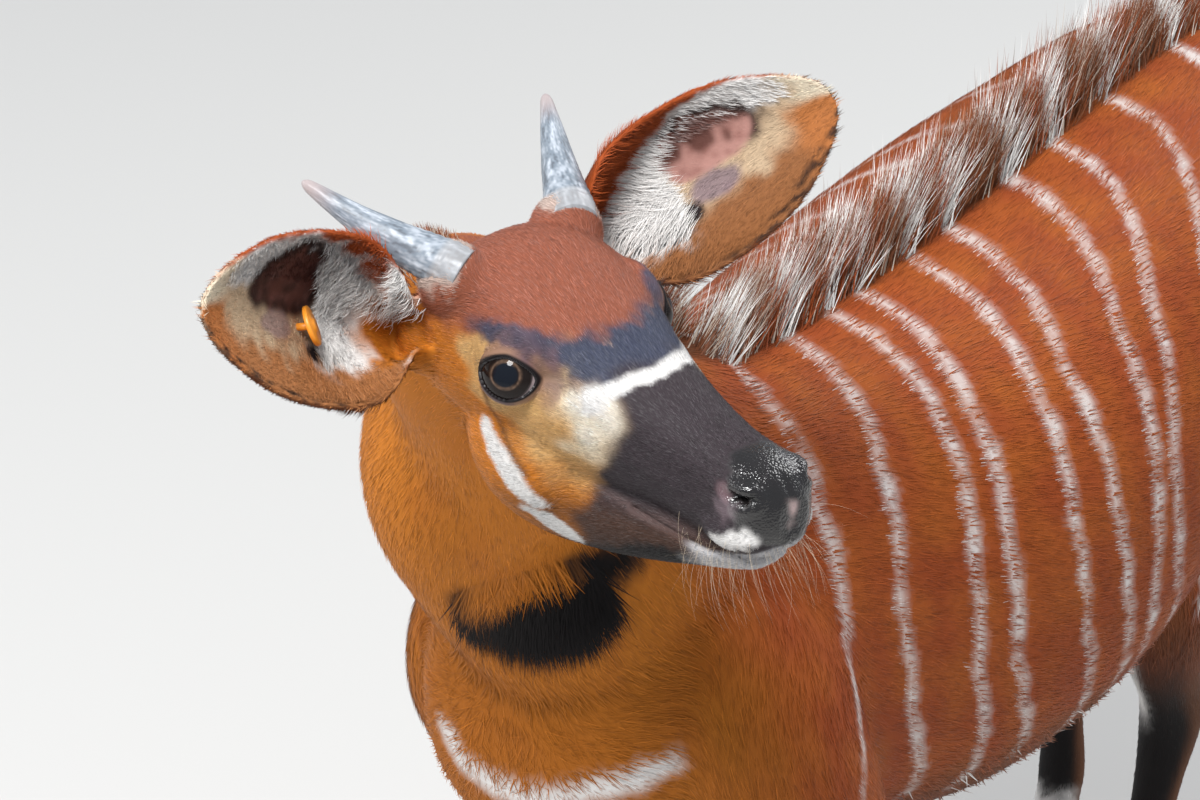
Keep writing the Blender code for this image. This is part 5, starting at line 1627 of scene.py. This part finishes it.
# %% Horns
HORN_BASE_RADIUS, HORN_TIP_RADIUS = 0.0165, 0.0030
horn_material, node_tree, shader = new_material("horn")
link(node_tree, attribute(node_tree, "coat").outputs["Color"], shader.inputs["Base Color"])
shader.inputs["Roughness"].default_value = 0.42
bumps(node_tree, shader, 500, 0.25, 0.0005)
for side, sign in SIDES.items():
    foot = np.multiply(HORN_PLACE, (1, sign, 1))
    reach = np.array(HORN_REACH[side])
    run = unit(reach)
    flat_side = unit(np.cross(run, (0, 0, 1)))
    flat_up = np.cross(flat_side, run)
    steps = np.r_[np.linspace(-0.12, 0.95, 110), 0.970, 0.985, 0.995, 1.0]
    turns = np.arange(64) * 2 * math.pi / 64
    rings, shades = [], []
    for t in steps:
        centre = foot + reach * t - np.array((0, 0, 0.004)) * math.sin(math.pi * max(t, 0))
        radius = HORN_TIP_RADIUS + (HORN_BASE_RADIUS - HORN_TIP_RADIUS) * (1 - max(t, 0)) ** 0.85
        radius *= 1 - 0.020 * (1 + math.sin(t * 95)) * max(0.0, 1 - t / 0.45) if t > 0 else 1.0
        radius *= math.sqrt(max(0.0, 1 - ((t - 0.95) / 0.051) ** 2)) if t > 0.95 else 1.0
        lumps = 1 + 0.012 * np.sin(turns * 5 + t * 9) + 0.008 * np.sin(turns * 11 - t * 20)
        around = np.outer(np.cos(turns) * radius * lumps, flat_side)
        rings.append(centre + around + np.outer(np.sin(turns) * radius * lumps, flat_up))
        here = np.stack([np.cos(turns) * 0.016, np.sin(turns) * 0.016, np.full(64, t * 0.030)], 1)
        streak = 0.7 * ripple(here, 0.009, 81) + 0.7 * ripple(here, 0.0026, 82)
        streak = streak + 0.5 * ripple(here, 0.0013, 83)
        tone = painted(np.tile(np.array((0.190, 0.225, 0.265)), (64, 1)), (0.60, 0.64, 0.70),
                       0.75 * smooth_step(-0.4, 2.2, streak))
        tone = painted(tone, (0.060, 0.066, 0.078), 0.6 * smooth_step(0.5, 1.3, -streak))
        tone = painted(tone, (0.40, 0.33, 0.32), np.full(64, 0.9 * smooth_step(0.70, 0.96, t)))
        tone = painted(tone, (0.42, 0.40, 0.39), np.full(64, 0.5 * smooth_step(0.07, 0.02, t)))
        shades.append(tone)
    made = shell(f"horn_spike_{side}", from_head(np.array(rings)), horn_material)
    shades = np.vstack(shades + [shades[0][:1], shades[-1][:1]])
    set_field(made.data, "coat", shades, "FLOAT_COLOR")
    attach(made, "root")
    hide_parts(f"horn_{side}")
print("horns of", round(float(np.linalg.norm(HORN_REACH["left"])), 3), "m")

# %% [markdown]
# Each hoof is two claws side by side, flat below, with a steep front. Both are lofts through
# six outlines, and the sole of each touches the floor.

# %% Hooves
HOOF_HEIGHT = 0.0355
hoof_material, node_tree, shader = new_material("hoof")
shader.inputs["Base Color"].default_value = (0.030, 0.027, 0.026, 1)
shader.inputs["Roughness"].default_value = 0.38
bumps(node_tree, shader, 300, 0.3, 0.0006)
for end in ("fore", "hind"):
    for side, sign in SIDES.items():
        low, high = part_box(f"hoof_{end}_{side}")
        centre_x = (low.x + high.x) / 2
        claws = []
        for inner_side in (-1, 1):
            rings = []
            for height, half, fore, aft, shift in (
                (0.0000, 0.0115, 0.0385, 0.0235, 0.0),
                (0.0012, 0.0122, 0.0400, 0.0243, 0.0),
                (0.0100, 0.0122, 0.0375, 0.0243, 0.002),
                (0.0220, 0.0116, 0.0300, 0.0240, 0.007),
                (0.0320, 0.0108, 0.0255, 0.0228, 0.011),
                (HOOF_HEIGHT, 0.0096, 0.0235, 0.0210, 0.012),
            ):
                turns = np.arange(40) * 2 * math.pi / 40
                wide = np.sign(np.cos(turns)) * np.abs(np.cos(turns)) ** 0.75
                endways = np.sin(turns)
                pinch = 1 - 0.35 * np.clip(-endways, 0, 1) ** 2
                x = centre_x + inner_side * (0.0137 - 0.002 * np.clip(-endways, 0, 1))
                x = x + wide * half * pinch
                y = low.y + 0.0410 + shift * 0.35 + endways * np.where(endways < 0, fore, aft)
                rings.append(np.stack([x, y, np.full(40, height)], 1))
            claws.append(shell("claw", np.array(rings), hoof_material))
        made = joined(claws, f"claws_{end}_{side}")
        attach(made, "root")
        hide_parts(f"hoof_{end}_{side}")
print("four feet of two claws")

# %% [markdown]
# The tag is a plastic button on a pin through the right ear, with a stud behind. All three are
# turned parts, so one profile of distances and radii makes each of them.

# %% Ear tag
TAG_RADIUS, TAG_THICKNESS, TAG_PIN_RADIUS = 0.0130, 0.0030, 0.0024
TAG_STUD_RADIUS, TAG_STAND_OFF = 0.0065, 0.0115
TAG_PLACE, TAG_FACES = (0.099, -0.001, -0.024), (0.60, 0.70, 0.30)
tag_material, node_tree, shader = new_material("tag")
shader.inputs["Base Color"].default_value = (0.85, 0.30, 0.025, 1)
shader.inputs["Roughness"].default_value = 0.40
root, along, across, opens = ear_frame("right")
spot = root + along * TAG_PLACE[0] + across * TAG_PLACE[1] + opens * TAG_PLACE[2]


def turned_piece(name, middle_at, axis, profile, material):
    """A round solid turned about an axis from a profile of (distance along it, radius)."""
    axis = unit(axis)
    flat_side = unit(np.cross(axis, (0.3, 0.2, 1.0)))
    flat_up = np.cross(axis, flat_side)
    turns = np.arange(64) * 2 * math.pi / 64
    circle = np.outer(np.cos(turns), flat_side) + np.outer(np.sin(turns), flat_up)
    return shell(name, [middle_at + axis * d + circle * r for d, r in profile], material)


half, edge_round = TAG_THICKNESS / 2, 0.0008
button = [(-half, TAG_RADIUS - edge_round), (-half + 0.3 * edge_round, TAG_RADIUS - 0.3 * edge_round),
          (-half + edge_round, TAG_RADIUS), (half - edge_round, TAG_RADIUS),
          (half - 0.3 * edge_round, TAG_RADIUS - 0.3 * edge_round), (half, TAG_RADIUS - edge_round),
          (half, 0.0050), (half + 0.0012, 0.0040), (half + 0.0012, 0.0010)]
pin = [(-0.0075, TAG_PIN_RADIUS), (TAG_STAND_OFF, TAG_PIN_RADIUS)]
stud = [(-0.0012, TAG_STUD_RADIUS), (0.0010, TAG_STUD_RADIUS)]
tag_axis = head_axes @ np.array(TAG_FACES)
tag = joined([
    turned_piece("button", spot + opens * TAG_STAND_OFF, tag_axis, button, tag_material),
    turned_piece("pin", spot, opens, pin, tag_material),
    turned_piece("stud", spot - opens * 0.0064, opens, stud, tag_material),
], "ear_button")
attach(tag, "root")
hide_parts("tag_right")
print("tag of", round(TAG_RADIUS * 2000), "mm in the right ear")

# %% [markdown]
# ## Whiskers and lashes
#
# Whiskers grow in loose rows round the lips and chin, and lashes from the edge of the upper
# lid. Each is the same tapered, bent strand set on a root and turned to its own direction: a
# repeat, so Geometry Nodes places them. Its inputs are the strand's length, thickness and bend.

# %% Strands by Geometry Nodes
def strand_nodes(name, material):
    """Points with a stored direction and length become bent, tapered strands."""
    group = bpy.data.node_groups.new(name, "GeometryNodeTree")
    ids = {}
    for label, kind, value in (
        ("Geometry", "NodeSocketGeometry", None),
        ("Length", "NodeSocketFloat", 0.03),
        ("Thickness", "NodeSocketFloat", 0.0003),
        ("Bend", "NodeSocketFloat", 0.3),
        ("Seed", "NodeSocketInt", 3),
    ):
        item = group.interface.new_socket(label, in_out="INPUT", socket_type=kind)
        ids[label] = item.identifier
        if value is not None:
            item.default_value = value
    group.interface.new_socket("Geometry", in_out="OUTPUT", socket_type="NodeSocketGeometry")

    def node(kind, **settings):
        made = group.nodes.new(kind)
        for key, value in settings.items():
            setattr(made, key, value)
        return made

    start, end = node("NodeGroupInput"), node("NodeGroupOutput")
    arc = node("GeometryNodeCurveQuadraticBezier")
    arc.inputs["Resolution"].default_value = 6
    arc.inputs["Start"].default_value = (0, 0, 0)
    middle_place, end_place = node("ShaderNodeCombineXYZ"), node("ShaderNodeCombineXYZ")
    middle_place.inputs["Z"].default_value = 0.55
    end_place.inputs["Z"].default_value = 1.0
    link(group, start.outputs["Bend"], end_place.inputs["X"])
    link(group, middle_place.outputs[0], arc.inputs["Middle"])
    link(group, end_place.outputs[0], arc.inputs["End"])
    factor = node("GeometryNodeSplineParameter")
    taper = node("ShaderNodeMapRange")
    taper.inputs["To Min"].default_value = 1.0
    taper.inputs["To Max"].default_value = 0.12
    link(group, factor.outputs["Factor"], taper.inputs["Value"])
    thin = node("ShaderNodeMath", operation="DIVIDE")
    link(group, start.outputs["Thickness"], thin.inputs[0])
    link(group, start.outputs["Length"], thin.inputs[1])
    circle = node("GeometryNodeCurvePrimitiveCircle")
    circle.inputs["Resolution"].default_value = 5
    link(group, thin.outputs[0], circle.inputs["Radius"])
    solid = node("GeometryNodeCurveToMesh")
    solid.inputs["Fill Caps"].default_value = True
    radius = node("GeometryNodeSetCurveRadius")
    link(group, arc.outputs[0], radius.inputs["Curve"])
    link(group, taper.outputs["Result"], radius.inputs["Radius"])
    link(group, radius.outputs[0], solid.inputs["Curve"])
    link(group, circle.outputs["Curve"], solid.inputs["Profile Curve"])
    if "Scale" in solid.inputs:
        link(group, taper.outputs["Result"], solid.inputs["Scale"])
    direction = node("GeometryNodeInputNamedAttribute", data_type="FLOAT_VECTOR")
    direction.inputs["Name"].default_value = "direction"
    turned = node("FunctionNodeAlignRotationToVector", axis="Z")
    link(group, direction.outputs["Attribute"], turned.inputs["Vector"])
    size = node("FunctionNodeRandomValue", data_type="FLOAT")
    size.inputs["Min"].default_value = 0.55
    size.inputs["Max"].default_value = 1.1
    link(group, start.outputs["Seed"], size.inputs["Seed"])
    scaled = node("ShaderNodeMath", operation="MULTIPLY")
    link(group, size.outputs[1], scaled.inputs[0])
    link(group, start.outputs["Length"], scaled.inputs[1])
    place_on = node("GeometryNodeInstanceOnPoints")
    link(group, start.outputs["Geometry"], place_on.inputs["Points"])
    link(group, solid.outputs[0], place_on.inputs["Instance"])
    link(group, turned.outputs[0], place_on.inputs["Rotation"])
    link(group, scaled.outputs[0], place_on.inputs["Scale"])
    real = node("GeometryNodeRealizeInstances")
    coloured = node("GeometryNodeSetMaterial")
    coloured.inputs["Material"].default_value = material
    link(group, place_on.outputs[0], real.inputs[0])
    link(group, real.outputs[0], coloured.inputs["Geometry"])
    link(group, coloured.outputs[0], end.inputs["Geometry"])
    return group, ids


# %% Grow strands on points
def strands(name, places, directions, length, thickness, bend, seed, material):
    data = bpy.data.meshes.new(name)
    data.from_pydata(np.asarray(places).tolist(), [], [])
    field = data.attributes.new("direction", "FLOAT_VECTOR", "POINT")
    field.data.foreach_set("vector", np.asarray(directions, np.float32).ravel())
    made = bpy.data.objects.new(name, data)
    bpy.context.scene.collection.objects.link(made)
    group, ids = strand_nodes(name, material)
    growth = made.modifiers.new("grow", "NODES")
    growth.node_group = group
    for label, value in (("Length", length), ("Thickness", thickness), ("Bend", bend), ("Seed", seed)):
        growth[ids[label]] = value
    baked(made)
    made.data.shade_smooth()
    made.data.materials.clear()
    made.data.materials.append(material)
    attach(made, "root")
    print(name, len(made.data.polygons), "faces")
    return made


def plain_material(name, colour, rough):
    material, _, shader = new_material(name)
    shader.inputs["Base Color"].default_value = (*colour, 1)
    shader.inputs["Roughness"].default_value = rough
    return material


# %% Whiskers
whisker_material = plain_material("whisker", (0.62, 0.50, 0.36), 0.4)
lash_material = plain_material("lash", (0.010, 0.008, 0.008), 0.5)
WHISKERS = 150
folded = mirrored_head(at)
from_mouth = away(folded, smooth_mouth)
by_mouth = (from_mouth > 0.003) & (from_mouth < 0.020)
on_lips = (folded[:, 0] > 0.095) & (folded[:, 2] < -0.062)
around_mouth = np.flatnonzero(by_mouth & on_lips & (wet < 0.5))
picked = random.choice(around_mouth, WHISKERS, replace=False)
out_ways = normal[picked] + 0.4 * head_axes[:, 0] - 0.6 * head_axes[:, 2]
out_ways = unit(out_ways + random.normal(0, 0.30, (WHISKERS, 3)))
strands("whiskers", at[picked], out_ways, 0.042, 0.00007, 0.35, 5, whisker_material)
# %% Lashes
lash_places, lash_ways = [], []
for sign in SIDES.values():
    for t in np.linspace(-0.80, 0.90, 52):
        ahead = t * (EYE_AHEAD if t > 0 else EYE_BEHIND)
        high = EYE_ABOVE * 1.06 * (1 - abs(t) ** 1.7) ** (1 / 1.7) + EYE_LIFT + EYE_SLOPE * ahead
        facing = math.sqrt(max(eye_radius**2 - ahead**2 - high**2, 0))
        turned_u = ahead * math.cos(EYE_FACES) + facing * math.sin(EYE_FACES)
        turned_v = -ahead * math.sin(EYE_FACES) + facing * math.cos(EYE_FACES)
        rim = unit(np.array((turned_u, turned_v, high))) * (eye_radius + LID_LIFT)
        lash_places.append(from_head((eye_place["left"] + rim) * (1, sign, 1)))
        lash_ways.append(head_axes @ ((rim / eye_radius + (0.3 * t, 0.3, -0.55)) * (1, sign, 1)))
lash_ways = unit(np.array(lash_ways) + random.normal(0, 0.12, (len(lash_ways), 3)))
strands("lashes", lash_places, lash_ways, 0.0075, 0.00012, -0.3, 9, lash_material)

# %% [markdown]
# The skin stands for all the flesh of the solids, and the coat goes with it. Eyes, horns, hooves
# and tag were tied to their solids where they were made.

# %% Tie the pieces to the frame
flesh = [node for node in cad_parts
         if node.split("_")[0] in ("head", "neck", "torso", "tail", "foreleg", "hindleg", "ear")]
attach(skin, "root")
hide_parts(*flesh)
for made in coat:
    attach(made, "root")
print("the skin stands for", len(flesh), "nodes")

# %% [markdown]
# ## Stage
#
# A pale floor, a large soft light from the front left and above, a weaker one from the right,
# and a grey sky show the coat without hard shadows. The camera looks down at the head from the
# animal's front left, through a long lens, as one would photograph a shy animal.

# %% Floor, lights and camera
FLOOR_COLOUR, SKY_COLOUR, SKY_STRENGTH = (0.62, 0.61, 0.59), (0.86, 0.92, 1.0, 1), 0.50
CAMERA_DISTANCE, CAMERA_ASIDE, CAMERA_DOWN = 3.09, 0.0056, 0.0352
floor_data = bpy.data.meshes.new("floor")
floor_data.from_pydata([(-8, -8, 0), (8, -8, 0), (8, 8, 0), (-8, 8, 0)], [], [(0, 1, 2, 3)])
floor = bpy.data.objects.new("floor", floor_data)
bpy.context.scene.collection.objects.link(floor)
floor_data.materials.append(plain_material("floor", FLOOR_COLOUR, 0.8))
stage = [floor]
target = Vector((0.0, -0.25, 0.85))
for name, lamp_place, lamp_size, power in (
    ("key", (0.6, -2.6, 4.6), 1.5, 235),
    ("fill", (-3.5, -2.0, 2.6), 3.0, 70),
    ("rim", (1.0, 3.6, 3.4), 2.5, 110),
):
    lamp = bpy.data.lights.new(name, "AREA")
    lamp.shape = "DISK"
    lamp.size = lamp_size
    lamp.energy = power
    made = bpy.data.objects.new(name, lamp)
    made.location = lamp_place
    made.rotation_euler = (target - Vector(lamp_place)).to_track_quat("-Z", "Y").to_euler()
    bpy.context.scene.collection.objects.link(made)
    stage.append(made)
world = bpy.data.worlds.new("sky")
world.use_nodes = True
background = world.node_tree.nodes["Background"]
background.inputs["Color"].default_value = SKY_COLOUR
background.inputs["Strength"].default_value = SKY_STRENGTH
bpy.context.scene.world = world
bpy.context.scene.view_settings.view_transform = "Standard"
camera_right, camera_back = np.array((0.809, 0.588, 0.0)), unit((0.514, -0.708, 0.485))
camera_right = unit(camera_right)
camera_up = np.cross(camera_back, camera_right)
lens = bpy.data.cameras.new("camera")
lens.lens = 150
lens.sensor_width = 36
camera = bpy.data.objects.new("camera", lens)
bpy.context.scene.collection.objects.link(camera)
camera_at = face_middle + camera_back * CAMERA_DISTANCE + camera_right * CAMERA_ASIDE
camera_at = camera_at - camera_up * CAMERA_DOWN
axes = np.stack([camera_right, camera_up, camera_back], axis=1)
camera.matrix_world = Matrix.Translation(camera_at) @ Matrix(axes.tolist()).to_4x4()
bpy.context.scene.camera = camera
stage.append(camera)
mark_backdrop(*stage)
print("stage of", [thing.name for thing in stage])

# %% [markdown]
# At last, the box of the finished animal is measured and printed.

# %% Finish
low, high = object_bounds()
print("finished box", [round(s, 3) for s in high - low])
